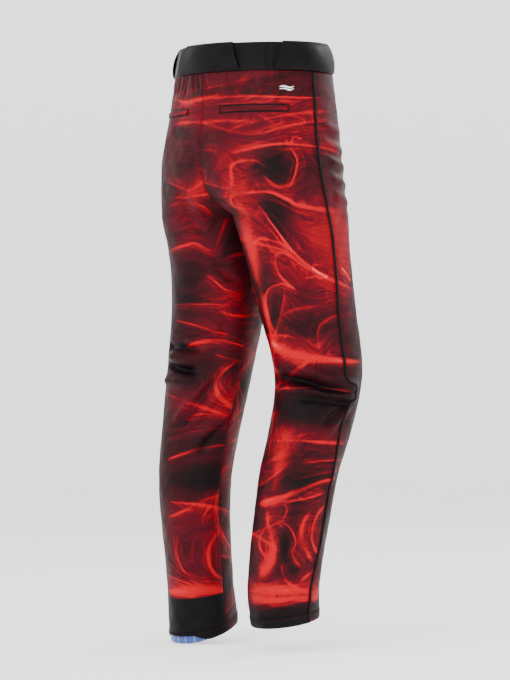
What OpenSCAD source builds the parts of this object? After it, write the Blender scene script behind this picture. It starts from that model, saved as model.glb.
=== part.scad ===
// Long hockey trousers: printed cloth legs, a wide waistband with belt tunnels, a zip fly and a snapped tab.
// The origin is the centre of the waistband's top rim, the front faces -Y and the wearer's left is +X.

/* [Waist] */
// Height of the waistband
band_h = 50; // [44:1:56]
// Width of the waistband at its lower edge
waist_w = 316; // [308:1:322]
// Depth of the waistband from front to back at its lower edge
waist_d = 242; // [236:1:248]
// How much narrower each side of the waistband is at its top rim
band_taper = 8; // [4:1:10]
// Depth of the space for a belt behind each tunnel
belt_gap = 5.6; // [4.8:0.1:6.4]

/* [Seat] */
// Width over the seat
seat_w = 358; // [350:2:364]
// Depth behind the side line at the seat
seat_back = 132; // [126:1:138]
// Height of the crotch below the top rim
crotch_depth = 300; // [290:1:315]
// Width of the two thighs at the crotch
crotch_w = 368; // [362:2:374]
// Depth of a thigh at the crotch
crotch_d = 224; // [216:2:230]

/* [Legs] */
// Height of the right hem's centre below the top rim
right_hem_depth = 1012; // [1000:1:1020]
// Height of the left hem's centre below the top rim
left_hem_depth = 1042; // [1030:1:1050]
// Width of a hem
hem_w = 122; // [116:1:126]
// Slope of the right hem down to the heel, in degrees
right_hem_slope = 10; // [6:1:12]
// Slope of the left hem down to the heel, in degrees
left_hem_slope = 20; // [16:1:22]
// Height of the black hem bands
hem_band_h = 18; // [14:1:20]

/* [Cloth] */
// Thickness of a cloth panel with its seam allowance
cloth = 1.6; // [1.4:0.1:1.8]
// Gap left between neighbouring pieces
gap = 0.3; // [0.25:0.05:0.35]

/* [Fly] */
// Depth of the fly's lower end below the top rim
fly_depth = 190; // [184:1:194]
// Half-width of the slot that the zip closes
slot = 7; // [6.5:0.5:8]
// Length of the slider
slider_l = 9; // [8:0.5:10]
// Length of the pull from its pin
pull_l = 22; // [18:1:24]

/* [Hidden] */

LEFT = 1;
RIGHT = -1;
BLACK = [0.06, 0.06, 0.065];
PRINT = [0.5, 0.06, 0.07];
BLUE = [0.1, 0.22, 0.6];
METAL = [0.62, 0.62, 0.64];

front_d = waist_d / 2;           // the front stays this deep down to the seat, so that the fly is straight
side_angle = 87;                 // the side seam at the waist, counted from the back round to the front
seam_angle = 0.15;               // half the gap at a leg's own seams
crotch_lead = 2;                 // how far in front of the side line the crotch's middle lies
hem_ease = 150;                  // height over which a hem's slope builds up

// depth, half-width, depth in front and depth behind of the trunk
trunk = [
    [0, waist_w / 2 - band_taper, front_d - band_taper, waist_d / 2 - band_taper],
    [band_h, waist_w / 2, front_d, waist_d / 2],
    [120, waist_w / 2 + 10, front_d, seat_back - 8],
    [190, seat_w / 2, front_d, seat_back],
    [250, crotch_w / 2 - 1, front_d - 2, seat_back - 6],
    [crotch_depth, crotch_w / 2, crotch_d / 2 + crotch_lead, crotch_d / 2 - crotch_lead]
];

// depth, centre to the side, centre to the back, half-width and half-depth of each leg
left_leg = [
    [crotch_depth, crotch_w / 4, -crotch_lead, crotch_w / 4, crotch_d / 2],
    [370, 94, -8, 89, 96],
    [450, 95, -5, 84, 87],
    [595, 98, 18, 76, 76],
    [770, 102, 46, 65, 66],
    [950, 106, 31, 59, 60],
    [left_hem_depth, 107, 21, hem_w / 2 + 1, hem_w / 2 + 1]
];
right_leg = [
    [crotch_depth, crotch_w / 4, -crotch_lead, crotch_w / 4, crotch_d / 2],
    [370, 94, -17, 90, 97],
    [450, 95, -36, 87, 88],
    [595, 98, -65, 77, 78],
    [770, 102, -10, 69, 70],
    [950, 106, 28, 63, 64],
    [right_hem_depth, 107, 26, hem_w / 2 - 1, hem_w / 2]
];

// depth and angle of each side seam, counted from the back round to the front
left_seam = [[0, side_angle], [left_hem_depth, 88]];
right_seam = [[0, side_angle], [200, 86], [340, 92], [545, 82], [720, 97], [840, 104], [right_hem_depth, 88]];

// ---- smooth curves through a table, by its first column ----
function span_at(table, t, i = 0) =
    i >= len(table) - 2 || t <= table[i + 1][0] ? i : span_at(table, t, i + 1);
function slope_at(table, i, k) =
    let(a = max(i - 1, 0), b = min(i + 1, len(table) - 1))
    (table[b][k] - table[a][k]) / (table[b][0] - table[a][0]);
function curve(table, t, k) =
    let(
        i = span_at(table, t),
        h = table[i + 1][0] - table[i][0],
        u = (t - table[i][0]) / h,
        v = 1 - u
    )
    table[i][k] * v * v * (1 + 2 * u) + table[i + 1][k] * u * u * (3 - 2 * u)
    + slope_at(table, i, k) * h * u * v * v - slope_at(table, i + 1, k) * h * u * u * v;
function clamp(v, low, high) = max(low, min(high, v));
function ease(u) = let(c = clamp(u, 0, 1)) c * c * (3 - 2 * c);

// ---- the trousers' outer skin ----
// Above the crotch each half is one lobe of a full ellipse that the centre plane cuts.
// At the crotch the lobes part and become the legs.
function leg_table(side) = side == LEFT ? left_leg : right_leg;
function hem_depth(side) = side == LEFT ? left_hem_depth : right_hem_depth;
function seam_at(side, t) = curve(side == LEFT ? left_seam : right_seam, t, 1);
function hem_slope(side) = tan(side == LEFT ? left_hem_slope : right_hem_slope);
function parting(t) = pow(clamp((t - band_h) / (crotch_depth - band_h), 0, 1), 5);
function fullness(t) = 0.12 * ease((t - 20) / 120) * (1 - ease((t - 200) / (crotch_depth - 200)));
function lobe(side, t) =
    t <= crotch_depth
    ? let(
        w = curve(trunk, t, 1),
        f = min(curve(trunk, t, 2), front_d),
        r = curve(trunk, t, 3),
        a = w / (1 + parting(t))
    ) [w - a, (r - f) / 2, a, (r + f) / 2]
    : let(table = leg_table(side)) [for (k = [1:4]) curve(table, t, k)];
function skin_at(side, t, angle, off) =
    let(
        s = lobe(side, t),
        x = s[0] + (s[2] + off) * sin(angle),
        back = (s[3] + off) * cos(angle) * (1 + fullness(t) * pow(sin(angle), 2)),
        drop = hem_slope(side) * ease((t - hem_depth(side) + hem_ease) / hem_ease) * back
    )
    [side * x, s[1] + back, -t - drop];
// the angles at which a lobe comes within x of the centre plane
function start_angle(side, t, x) =
    let(s = lobe(side, t)) max(asin(clamp((x - s[0]) / s[2], -1, 1)), -90 + seam_angle);
function end_angle(side, t, x) = 180 - start_angle(side, t, x);

// ---- closed sheets between an outer and an inner grid of points, rows going down ----
function quad(a, b, c, d, flip) = flip ? [[a, c, b], [a, d, c]] : [[a, b, c], [a, c, d]];
function sheet_faces(n, m, flip) =
    let(k = n * m)
    [
        for (i = [0:n - 2], j = [0:m - 2])
            let(a = i * m + j, b = a + m)
            each concat(quad(a, b, b + 1, a + 1, flip), quad(k + a, k + a + 1, k + b + 1, k + b, flip)),
        for (i = [0:n - 2])
            let(a = i * m, b = a + m, e = m - 1)
            each concat(
                quad(a, k + a, k + b, b, flip),
                quad(a + e, b + e, k + b + e, k + a + e, flip)
            ),
        for (j = [0:m - 2])
            let(a = j, e = (n - 1) * m + j)
            each concat(
                quad(a, a + 1, k + a + 1, k + a, flip),
                quad(e, k + e, k + e + 1, e + 1, flip)
            )
    ];
module sheet(outer, inner, n, m, flip = false) {
    polyhedron(points = concat(outer, inner), faces = sheet_faces(n, m, flip), convexity = 8);
}

// A sheet on the skin. rows: [depth, first angle, last angle, outer offset, inner offset].
module strip(side, rows, m) {
    outer = [for (r = rows, j = [0:m - 1]) skin_at(side, r[0], r[1] + (r[2] - r[1]) * j / (m - 1), r[3])];
    inner = [for (r = rows, j = [0:m - 1]) skin_at(side, r[0], r[1] + (r[2] - r[1]) * j / (m - 1), r[4])];
    sheet(outer, inner, len(rows), m, side == RIGHT);
}
// A strip with the same angles and offsets at every depth
module patch(side, from, to, first, last, outer, inner, n, m) {
    strip(side, [for (i = [0:n - 1]) [from + (to - from) * i / (n - 1), first, last, outer, inner]], m);
}

// ---- printed cloth panels ----
panel_top = band_h + gap;
trunk_rows = [
    panel_top, 80, 110, 140, 165, fly_depth, fly_depth + 2,
    215, 235, 252, 266, 278, 288, 295, crotch_depth
];
leg_rows = 22;
function panel_rows(side) =
    let(bottom = hem_depth(side) - hem_band_h - gap)
    concat(trunk_rows, [for (i = [1:leg_rows]) crotch_depth + (bottom - crotch_depth) * i / leg_rows]);
function centre_gap(t) = t <= fly_depth ? slot : gap / 2;

module back_panel(side) {
    color(PRINT)
    strip(
        side,
        [
            for (t = panel_rows(side))
                [t, start_angle(side, t, gap / 2), seam_at(side, t) - seam_angle, 0, -cloth]
        ],
        13
    );
}
module front_panel(side) {
    color(PRINT)
    strip(
        side,
        [
            for (t = panel_rows(side))
                [t, seam_at(side, t) + seam_angle, end_angle(side, t, centre_gap(t)), 0, -cloth]
        ],
        13
    );
}

// ---- black trim ----
piping_half = 1.7;
module side_piping(side) {
    rows = 40;
    top = panel_top + 1;
    bottom = hem_depth(side);
    depths = [for (i = [0:rows - 1]) top + (bottom - top) * i / (rows - 1)];
    color(BLACK)
    strip(
        side,
        [for (t = depths) let(a = seam_at(side, t)) [t, a - piping_half, a + piping_half, gap + 1.2, gap]],
        3
    );
}
heel_half = 52;                  // half the arc that a heel tape covers
heel_rise = 13;                  // how far the left hem's band is arched up over the heel tape
function heel_arch(angle) = ease((heel_half + 8 - abs(angle)) / 16);
module hem_band(side) {
    m = 49;
    lift = side == LEFT ? heel_rise : 0;
    angles = [for (j = [0:m - 1]) -90 + seam_angle + (360 - 2 * seam_angle) * j / (m - 1)];
    ends = [
        [for (a = angles) hem_depth(side) - hem_band_h],
        [for (a = angles) hem_depth(side) - lift * heel_arch(a)]
    ];
    outer = [for (row = ends, j = [0:m - 1]) skin_at(side, row[j], angles[j], 0)];
    inner = [for (row = ends, j = [0:m - 1]) skin_at(side, row[j], angles[j], -cloth)];
    color(BLACK) sheet(outer, inner, 2, m, side == RIGHT);
}
module heel_tape(side) {
    low = side == LEFT ? hem_depth(side) : hem_depth(side) - 3;
    color(BLUE)
    patch(side, low - 20, low, -heel_half, heel_half, -cloth - 4 * gap, -cloth - 4 * gap - 1.2, 3, 19);
}

// ---- waistband, in layers from the outside: shell, elastic, lining ----
band_end_left = 171.4;
band_end_right = -171.6;
module band_layer(top, bottom, outer, inner) {
    patch(LEFT, top, bottom, band_end_right, band_end_left, outer, inner, 3, 49);
}
module waistband_shell() color(BLACK) band_layer(0, band_h, 1.2, 0);
module waistband_elastic() color([0.2, 0.2, 0.2]) band_layer(3, band_h - 3, -gap, -gap - 1.3);
module waistband_lining() color([0.12, 0.12, 0.12]) band_layer(1, band_h - 1, -2 * gap - 1.3, -2 * gap - 2.5);

// A tunnel is sewn down along its top and bottom edges and open at both ends.
tunnel_flare = 6.5;              // how much further a wide tunnel reaches at the bottom, in degrees
tunnel_cloth = 1.5;
module belt_tunnel(middle, half) {
    n = 9;
    top = -1.2;
    color(BLACK)
    strip(
        LEFT,
        [
            for (i = [0:n - 1])
                let(
                    u = i / (n - 1),
                    stand = 1.2 + gap + belt_gap * pow(sin(180 * u), 0.7),
                    reach = half + min(tunnel_flare, half / 4) * (u - 0.5)
                )
                [top + (band_h - top) * u, middle - reach, middle + reach, stand + tunnel_cloth, stand]
        ],
        max(7, round(half / 3) + 1)
    );
}
side_tunnel_half = 30;
back_tunnel_half = 26;
front_loop_half = 7;
front_loop_angle = 150;

// ---- waist closure: the left end's tab lies over the right end's underlap ----
tab_level = 3.3;                 // offset of the tab's inner face
tab_cloth = 1.4;
tab_root = 171.6;
tab_tip = 193;
snap_spots = [177.4, 184.4];     // angles of the two snaps
snap_depth = band_h / 2;
module waist_tab()
    color(BLACK) patch(LEFT, 0.5, band_h - 0.5, tab_root, tab_tip, tab_level + tab_cloth, tab_level, 3, 9);
module waist_underlap()
    color(BLACK) patch(LEFT, 0.5, band_h - 0.5, 171.9, 188.1, 1.2, 0, 3, 9);
module at_snap(angle, off) {
    lean = atan(band_taper / band_h);
    translate(skin_at(LEFT, snap_depth, angle, off))
        rotate([90 - lean, 0, (180 - angle) * waist_d / waist_w]) children();
}
module snap_studs() color(METAL)
    for (angle = snap_spots) at_snap(angle, 1.2) {
        translate([0, 0, gap]) cylinder(r = 4.2, h = 0.5, $fn = 48);
        translate([0, 0, gap]) cylinder(r = 1.7, h = 1.5, $fn = 48);
    }
module snap_sockets() color(METAL)
    for (angle = snap_spots) at_snap(angle, 1.2) difference() {
        translate([0, 0, gap + 0.65]) cylinder(r = 4.6, h = 1, $fn = 48);
        translate([0, 0, gap]) cylinder(r = 2, h = 3, $fn = 48);
    }

// ---- back pockets ----
welt_first = 15;
welt_last = 63;
welt_top = 111;
welt_h = 12;
module pocket_welt(side)
    color(PRINT) patch(side, welt_top, welt_top + welt_h, welt_first, welt_last, 2 * gap + 1, 2 * gap, 3, 13);
bag_in = cloth + 3 * gap;        // how far a bag lies behind the cloth's outer face
module pocket_bag(side)
    color([0.1, 0.1, 0.1])
    patch(side, 100, 235, welt_first - 2, welt_last + 2, -bag_in, -bag_in - 1, 7, 9);
module pocket_bar_tacks() color(BLACK)
    for (side = [LEFT, RIGHT], angle = [welt_first - 1.6, welt_last + 0.6])
        patch(side, welt_top - 1, welt_top + welt_h + 1, angle, angle + 1, 2 * gap + 0.8, 2 * gap, 2, 2);

// ---- fly: placket over a straight zip ----
placket_root = 20.7;             // x of the line that the placket folds on
placket_edge = -13;              // x of its free edge
placket_bulge = 4;
placket_cloth = 1.4;
placket_low = fly_depth + 16;
function placket_face(x) = -(front_d + 0.5 + placket_bulge * pow(cos(90 * min(1, abs(x) / 14)), 2));
module fly_placket() {
    n = 9;
    m = 13;
    xs = [for (j = [0:m - 1]) placket_root + (placket_edge - placket_root) * j / (m - 1)];
    zs = [for (i = [0:n - 1]) -(band_h + 2) - (placket_low - band_h - 2) * i / (n - 1)];
    outer = [for (z = zs, x = xs) [x, placket_face(x) - placket_cloth, z]];
    inner = [for (z = zs, x = xs) [x, placket_face(x), z]];
    color(PRINT) sheet(outer, inner, n, m);
}
tape_y = -(front_d - 3);        // back face of the zip's tapes
tape_t = 0.5;
coil_y = tape_y - tape_t - 0.2;  // back face of the coils
coil_t = 1.3;
zip_top = -(band_h + 6);
zip_bottom = -(fly_depth - 4);
module plate(x0, x1, y0, y1, z0, z1) {
    translate([min(x0, x1), min(y0, y1), min(z0, z1)]) cube([abs(x1 - x0), abs(y1 - y0), abs(z1 - z0)]);
}
module zip_tape(side) color(BLACK)
    plate(side * 0.9, side * 16, tape_y, tape_y - tape_t, zip_top + 3, zip_bottom - 6);
module zip_coil(side) color(BLACK)
    plate(side * 0.8, side * 2.4, coil_y, coil_y - coil_t, zip_top, zip_bottom);
module zip_top_stops() color(METAL)
    for (side = [LEFT, RIGHT])
        plate(side * 0.8, side * 2.6, coil_y, coil_y - 1.5, zip_top + 0.2, zip_top + 2.2);
module zip_bottom_stop() color(METAL)
    plate(-2.8, 2.8, coil_y, coil_y - 1.5, zip_bottom - 0.3, zip_bottom - 3);
module fly_shield() color(BLACK)
    plate(-20, 18, tape_y + 2.8, tape_y + 4, -(band_h + 2), -(fly_depth + 8));
module fly_bar_tack() color(BLACK)
    patch(LEFT, fly_depth, fly_depth + 1.6, 170.4, 172.3, gap + 0.8, gap, 2, 2);

// The slider's plates hold the coils from both sides; its neck runs between them.
slider_top = zip_top - 1;
slider_half = 3.7;
plate_t = 1.2;
front_plate_y = coil_y - coil_t - 0.25;
back_plate_y = tape_y + 0.3;
pin_y = front_plate_y - plate_t - 1.4;
pin_z = slider_top - 4;
pin_r = 0.6;
eye_r = 1.15;
module zip_slider() color(METAL) {
    low = slider_top - slider_l;
    plate(-slider_half, slider_half, front_plate_y, front_plate_y - plate_t, slider_top, low);
    plate(-slider_half, slider_half, back_plate_y, back_plate_y + plate_t, slider_top, low);
    plate(-0.45, 0.45, back_plate_y + 0.5, front_plate_y - 0.5, slider_top, slider_top - 2.5);
    for (side = [LEFT, RIGHT]) {
        plate(side * 2.75, side * slider_half, front_plate_y - 0.2, tape_y - tape_t - 0.25, slider_top, low);
        plate(side * 2.2, side * 3.2, front_plate_y - plate_t + 0.2, pin_y - 1.1, pin_z - 1.1, pin_z + 1.1);
    }
    translate([-2.7, pin_y, pin_z]) rotate([0, 90, 0]) cylinder(r = pin_r, h = 5.4, $fn = 48);
}
module zip_pull() color(METAL) difference() {
    union() {
        translate([-2, pin_y, pin_z]) rotate([0, 90, 0]) cylinder(r = eye_r, h = 4, $fn = 48);
        plate(-2, 2, pin_y - 0.5, pin_y + 0.5, pin_z, pin_z - pull_l + 2.5);
        translate([0, pin_y + 0.5, pin_z - pull_l + 2.5]) rotate([90, 0, 0])
            cylinder(r = 2.5, h = 1, $fn = 48);
    }
    translate([-3, pin_y, pin_z]) rotate([0, 90, 0]) cylinder(r = pin_r + 0.08, h = 6, $fn = 48);
    translate([0, pin_y + 1, pin_z - pull_l + 2.5]) rotate([90, 0, 0]) cylinder(r = 1.1, h = 2, $fn = 48);
}

// ---- labels ----
module care_label() color([0.85, 0.85, 0.85])
    patch(LEFT, 12, 46, -7, 7, -3 * gap - 2.5, -3 * gap - 2.9, 2, 5);
module hip_mark() color([0.9, 0.9, 0.9])
    patch(RIGHT, 75, 87, 57, 69, gap + 0.3, gap, 3, 7);

back_panel(LEFT);  // left_back_panel
back_panel(RIGHT);  // right_back_panel
front_panel(LEFT);  // left_front_panel
front_panel(RIGHT);  // right_front_panel
side_piping(LEFT);  // left_side_piping
side_piping(RIGHT);  // right_side_piping
hem_band(LEFT);  // left_hem_band
hem_band(RIGHT);  // right_hem_band
heel_tape(LEFT);  // left_heel_tape
heel_tape(RIGHT);  // right_heel_tape
waistband_shell();
waistband_elastic();
waistband_lining();
belt_tunnel(0, back_tunnel_half);  // back_belt_tunnel
belt_tunnel(side_angle, side_tunnel_half);  // left_belt_tunnel
belt_tunnel(-side_angle, side_tunnel_half);  // right_belt_tunnel
belt_tunnel(front_loop_angle, front_loop_half);  // left_front_loop
belt_tunnel(-front_loop_angle, front_loop_half);  // right_front_loop
waist_tab();
waist_underlap();
snap_studs();
snap_sockets();
pocket_welt(LEFT);  // left_pocket_welt
pocket_welt(RIGHT);  // right_pocket_welt
pocket_bag(LEFT);  // left_pocket_bag
pocket_bag(RIGHT);  // right_pocket_bag
pocket_bar_tacks();
fly_placket();
fly_shield();
zip_tape(LEFT);  // left_zip_tape
zip_tape(RIGHT);  // right_zip_tape
zip_coil(LEFT);  // left_zip_coil
zip_coil(RIGHT);  // right_zip_coil
zip_top_stops();
zip_bottom_stop();
zip_slider();
zip_pull();
fly_bar_tack();
care_label();
hip_mark();
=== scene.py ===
"""Long hockey trousers as worn: printed knit panels, black trim, belt tunnels, pockets and a fly."""
import logging
import math
from dataclasses import dataclass, field
from enum import Enum, IntEnum
from typing import Sequence

import bpy
import numpy as np
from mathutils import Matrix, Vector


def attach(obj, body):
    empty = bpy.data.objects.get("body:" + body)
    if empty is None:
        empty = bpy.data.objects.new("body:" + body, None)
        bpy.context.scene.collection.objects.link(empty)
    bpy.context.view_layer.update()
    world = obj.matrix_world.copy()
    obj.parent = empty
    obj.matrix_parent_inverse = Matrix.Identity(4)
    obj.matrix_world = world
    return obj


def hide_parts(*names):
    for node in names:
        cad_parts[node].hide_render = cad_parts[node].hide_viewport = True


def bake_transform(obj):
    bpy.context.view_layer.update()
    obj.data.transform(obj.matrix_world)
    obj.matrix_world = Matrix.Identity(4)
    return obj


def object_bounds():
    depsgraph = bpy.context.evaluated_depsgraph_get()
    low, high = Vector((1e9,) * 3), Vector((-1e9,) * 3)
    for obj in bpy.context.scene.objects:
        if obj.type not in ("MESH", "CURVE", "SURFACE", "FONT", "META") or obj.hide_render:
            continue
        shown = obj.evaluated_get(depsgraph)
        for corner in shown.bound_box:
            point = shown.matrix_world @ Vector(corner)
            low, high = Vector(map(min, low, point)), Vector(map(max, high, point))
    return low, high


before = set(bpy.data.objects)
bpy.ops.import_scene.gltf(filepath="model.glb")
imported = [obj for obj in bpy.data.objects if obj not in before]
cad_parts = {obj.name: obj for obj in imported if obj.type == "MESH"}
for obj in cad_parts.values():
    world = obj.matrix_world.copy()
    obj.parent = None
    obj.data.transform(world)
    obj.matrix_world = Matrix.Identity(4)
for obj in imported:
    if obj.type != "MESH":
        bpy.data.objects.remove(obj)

CAD_BOX = [list(corner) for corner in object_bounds()]
MM = 0.001
BODY = "trousers"
LOG = logging.getLogger("trousers")

Array = np.ndarray
Points = Sequence[tuple[float, float]]


class Side(IntEnum):
    """The wearer's side, as the sign of X."""

    LEFT = 1
    RIGHT = -1

    @property
    def word(self) -> str:
        """The side's name as the nodes spell it."""
        return self.name.lower()


class Hold(str, Enum):
    """How a sheet of cloth is held."""

    STRETCHED = "stretched"
    GATHERED = "gathered"
    FOLDED = "folded"


# ------------------------------------------------------------------ shape of the worn cloth


def ease(value: Array | float) -> Array:
    """A smooth step.

    Args:
        value: Progress, clipped to 0 to 1.

    Returns:
        The eased progress.
    """
    clipped = np.clip(value, 0.0, 1.0)
    return clipped * clipped * (3 - 2 * clipped)


def curve(table: Sequence[Sequence[float]], at: Array, column: int) -> Array:
    """Reads a smooth curve through a column of a table, by the table's first column.

    Args:
        table: Rows, in order of their first value.
        at: Places along the first column.
        column: The column to read.

    Returns:
        The curve's values.
    """
    rows = np.array(table, float)
    key, value = rows[:, 0], rows[:, column]
    low = np.maximum(np.arange(len(key)) - 1, 0)
    high = np.minimum(np.arange(len(key)) + 1, len(key) - 1)
    slope = (value[high] - value[low]) / (key[high] - key[low])
    i = np.clip(np.searchsorted(key, at, side="left") - 1, 0, len(key) - 2)
    h = key[i + 1] - key[i]
    u = (at - key[i]) / h
    v = 1 - u
    bent = slope[i] * h * u * v * v - slope[i + 1] * h * u * u * v
    return value[i] * v * v * (1 + 2 * u) + value[i + 1] * u * u * (3 - 2 * u) + bent


@dataclass(frozen=True)
class Stroke:
    """A line drawn on the cloth: a fold or a wisp of the print.

    Attributes:
        side: The half of the trousers that the points are counted on.
        points: Depth below the rim in millimetres and angle from the back in degrees.
        width: Half-width in millimetres.
        weight: Height in millimetres for a fold, brightness for a wisp.
        lean: Share of the fold that overhangs, or half-width of a wisp's veil, signed by its side.
    """

    side: Side
    points: Points
    width: float
    weight: float
    lean: float = 0.0

    def smooth(self, steps: int = 5) -> Array:
        """Points along a spline through the stroke's own.

        Args:
            steps: Points to each span.

        Returns:
            An array of depth and angle.
        """
        own = np.array(self.points, float)
        ends = np.vstack([2 * own[0] - own[1], own, 2 * own[-1] - own[-2]])
        u = np.linspace(0, 1, steps, endpoint=False)[:, None]
        spans = []
        for a, b, c, d in zip(ends, ends[1:], ends[2:], ends[3:]):
            spans.append(
                0.5 * (
                    2 * b + (c - a) * u + (2 * a - 5 * b + 4 * c - d) * u**2 + (3 * b - a - 3 * c + d) * u**3
                )
            )
        return np.vstack([*spans, own[-1:]])


@dataclass
class Skin:
    """The outside of the trousers as worn, in millimetres of depth below the rim and degrees from the back."""

    band: float = 50.0
    crotch: float = 300.0
    seam: float = 87.0
    front: float = 121.0
    hems: dict[Side, float] = field(default_factory=lambda: {Side.LEFT: 1042.0, Side.RIGHT: 1012.0})
    slopes: dict[Side, float] = field(default_factory=lambda: {Side.LEFT: 20.0, Side.RIGHT: 10.0})
    trunk: Sequence = (
        (0, 150, 113, 113),
        (50, 158, 121, 121),
        (120, 168, 121, 124),
        (190, 179, 121, 132),
        (250, 183, 119, 126),
        (300, 184, 114, 110),
    )
    legs: dict[Side, Sequence] = field(
        default_factory=lambda: {
            Side.LEFT: (
                (300, 92, -2, 92, 112),
                (370, 94, -8, 89, 96),
                (450, 95, -5, 84, 87),
                (595, 98, 18, 76, 76),
                (770, 102, 46, 65, 66),
                (950, 106, 31, 59, 60),
                (1042, 107, 21, 62, 62),
            ),
            Side.RIGHT: (
                (300, 92, -2, 92, 112),
                (370, 94, -17, 90, 97),
                (450, 95, -36, 87, 88),
                (595, 98, -65, 77, 78),
                (770, 102, -10, 69, 70),
                (950, 106, 28, 63, 64),
                (1012, 107, 26, 60, 61),
            ),
        }
    )
    seams: dict[Side, Sequence] = field(
        default_factory=lambda: {
            Side.LEFT: ((0, 87), (1042, 88)),
            Side.RIGHT: ((0, 87), (200, 86), (340, 92), (545, 82), (720, 97), (840, 104), (1012, 88)),
        }
    )
    folds: list[Stroke] = field(default_factory=list)

    def lobe(self, side: Side, depth: Array) -> tuple[Array, Array, Array, Array]:
        """The ellipse that the cloth follows at a depth.

        Args:
            side: Which half.
            depth: Depths below the rim.

        Returns:
            Its centre to the side and to the back, its half-width and its half-depth.
        """
        above = np.minimum(depth, self.crotch)
        wide = curve(self.trunk, above, 1)
        fore = np.minimum(curve(self.trunk, above, 2), self.front)
        back = curve(self.trunk, above, 3)
        part = np.clip((above - self.band) / (self.crotch - self.band), 0, 1) ** 5
        half = wide / (1 + part)
        torso = (wide - half, (back - fore) / 2, half, (back + fore) / 2)
        below = np.maximum(depth, self.crotch)
        leg = [curve(self.legs[side], below, k) for k in (1, 2, 3, 4)]
        return tuple(np.where(depth <= self.crotch, a, b) for a, b in zip(torso, leg))

    def seam_at(self, side: Side, depth: Array) -> Array:
        """Angle of the side seam at a depth, with the jog where the right one crosses the knee's fold."""
        depth = np.asarray(depth, float)
        jog = 19 * ease((depth - 590) / 16) * (1 - ease((depth - 612) / 42)) * (side == Side.RIGHT)
        return curve(self.seams[side], depth, 1) + jog

    def start(self, side: Side, depth: Array, x: float) -> Array:
        """Angle at which the back of a lobe comes within x of the centre plane.

        Args:
            side: Which half.
            depth: Depths below the rim.
            x: Distance from the centre plane.

        Returns:
            Angles in degrees.
        """
        cx, _, half, _ = self.lobe(side, depth)
        return np.maximum(np.degrees(np.arcsin(np.clip((x - cx) / half, -1, 1))), -89.85)

    def bare(self, side: Side, depth: Array, angle: Array, off: Array | float) -> Array:
        """Points on the skin without its folds.

        Args:
            side: Which half.
            depth: Depths below the rim.
            angle: Angles from the back.
            off: Distance outside the skin.

        Returns:
            Points in millimetres.
        """
        cx, cy, half, deep = self.lobe(side, depth)
        turn = np.radians(angle)
        full = 0.12 * ease((depth - 20) / 120) * (1 - ease((depth - 200) / (self.crotch - 200)))
        back = (deep + off) * np.cos(turn) * (1 + full * np.sin(turn) ** 2)
        hem = self.hems[side]
        drop = math.tan(math.radians(self.slopes[side])) * ease((depth - hem + 150) / 150) * back
        return np.stack([side * (cx + (half + off) * np.sin(turn)), cy + back, -depth - drop], -1)

    def normal(self, side: Side, depth: Array, angle: Array) -> Array:
        """Outward unit normals of the skin without its folds.

        Args:
            side: Which half.
            depth: Depths below the rim.
            angle: Angles from the back.

        Returns:
            Unit vectors.
        """
        around = self.bare(side, depth, angle + 0.5, 0) - self.bare(side, depth, angle - 0.5, 0)
        down = self.bare(side, depth + 1, angle, 0) - self.bare(side, depth - 1, angle, 0)
        out = np.cross(around, down) * side
        return out / np.linalg.norm(out, axis=-1, keepdims=True)

    def reach(self, side: Side, depth: Array) -> Array:
        """Mean radius of the lobe at a depth."""
        _, _, half, deep = self.lobe(side, depth)
        return (half + deep) / 2

    def trace(
        self, stroke: Stroke, side: Side, depth: Array, angle: Array
    ) -> tuple[Array, Array, Array, Array]:
        """Measures how far points on the cloth lie from a stroke.

        Args:
            stroke: The stroke.
            side: Which half the points are on.
            depth: Depths below the rim.
            angle: Angles from the back.

        Returns:
            Indices of the points near the stroke, their distance, signed distance and place along it.
        """
        line = stroke.smooth()
        margin = 3 * max(stroke.width, abs(stroke.lean)) + 24 * (abs(stroke.lean) > 1)
        near = (depth > line[:, 0].min() - margin) & (depth < line[:, 0].max() + margin)
        if side != stroke.side:
            near &= depth < self.crotch - 30
            angle = -angle
        elif stroke.points[0][1] > 200:
            angle = np.where(angle < 90, angle + 360, angle)
        index = np.nonzero(near)[0]
        if not len(index):
            return index, *(np.zeros(0),) * 3
        radius = self.reach(side, depth[index])
        place = np.stack([depth[index], np.radians(angle[index]) * radius], -1)
        best = np.full(len(index), 1e9)
        signed, along = np.zeros(len(index)), np.zeros(len(index))
        spans = len(line) - 1
        for k in range(spans):
            a = np.stack([np.full(len(index), line[k, 0]), math.radians(line[k, 1]) * radius], -1)
            b = np.stack([np.full(len(index), line[k + 1, 0]), math.radians(line[k + 1, 1]) * radius], -1)
            run = b - a
            size = np.maximum((run**2).sum(-1), 1e-6)
            share = np.clip(((place - a) * run).sum(-1) / size, 0, 1)
            gap = place - a - run * share[:, None]
            distance = np.hypot(gap[:, 0], gap[:, 1])
            closer = distance < best
            best = np.where(closer, distance, best)
            cross = run[:, 0] * gap[:, 1] - run[:, 1] * gap[:, 0]
            signed = np.where(closer, np.sign(cross) * distance, signed)
            along = np.where(closer, (k + share) / spans, along)
        return index, best, signed, along

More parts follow.
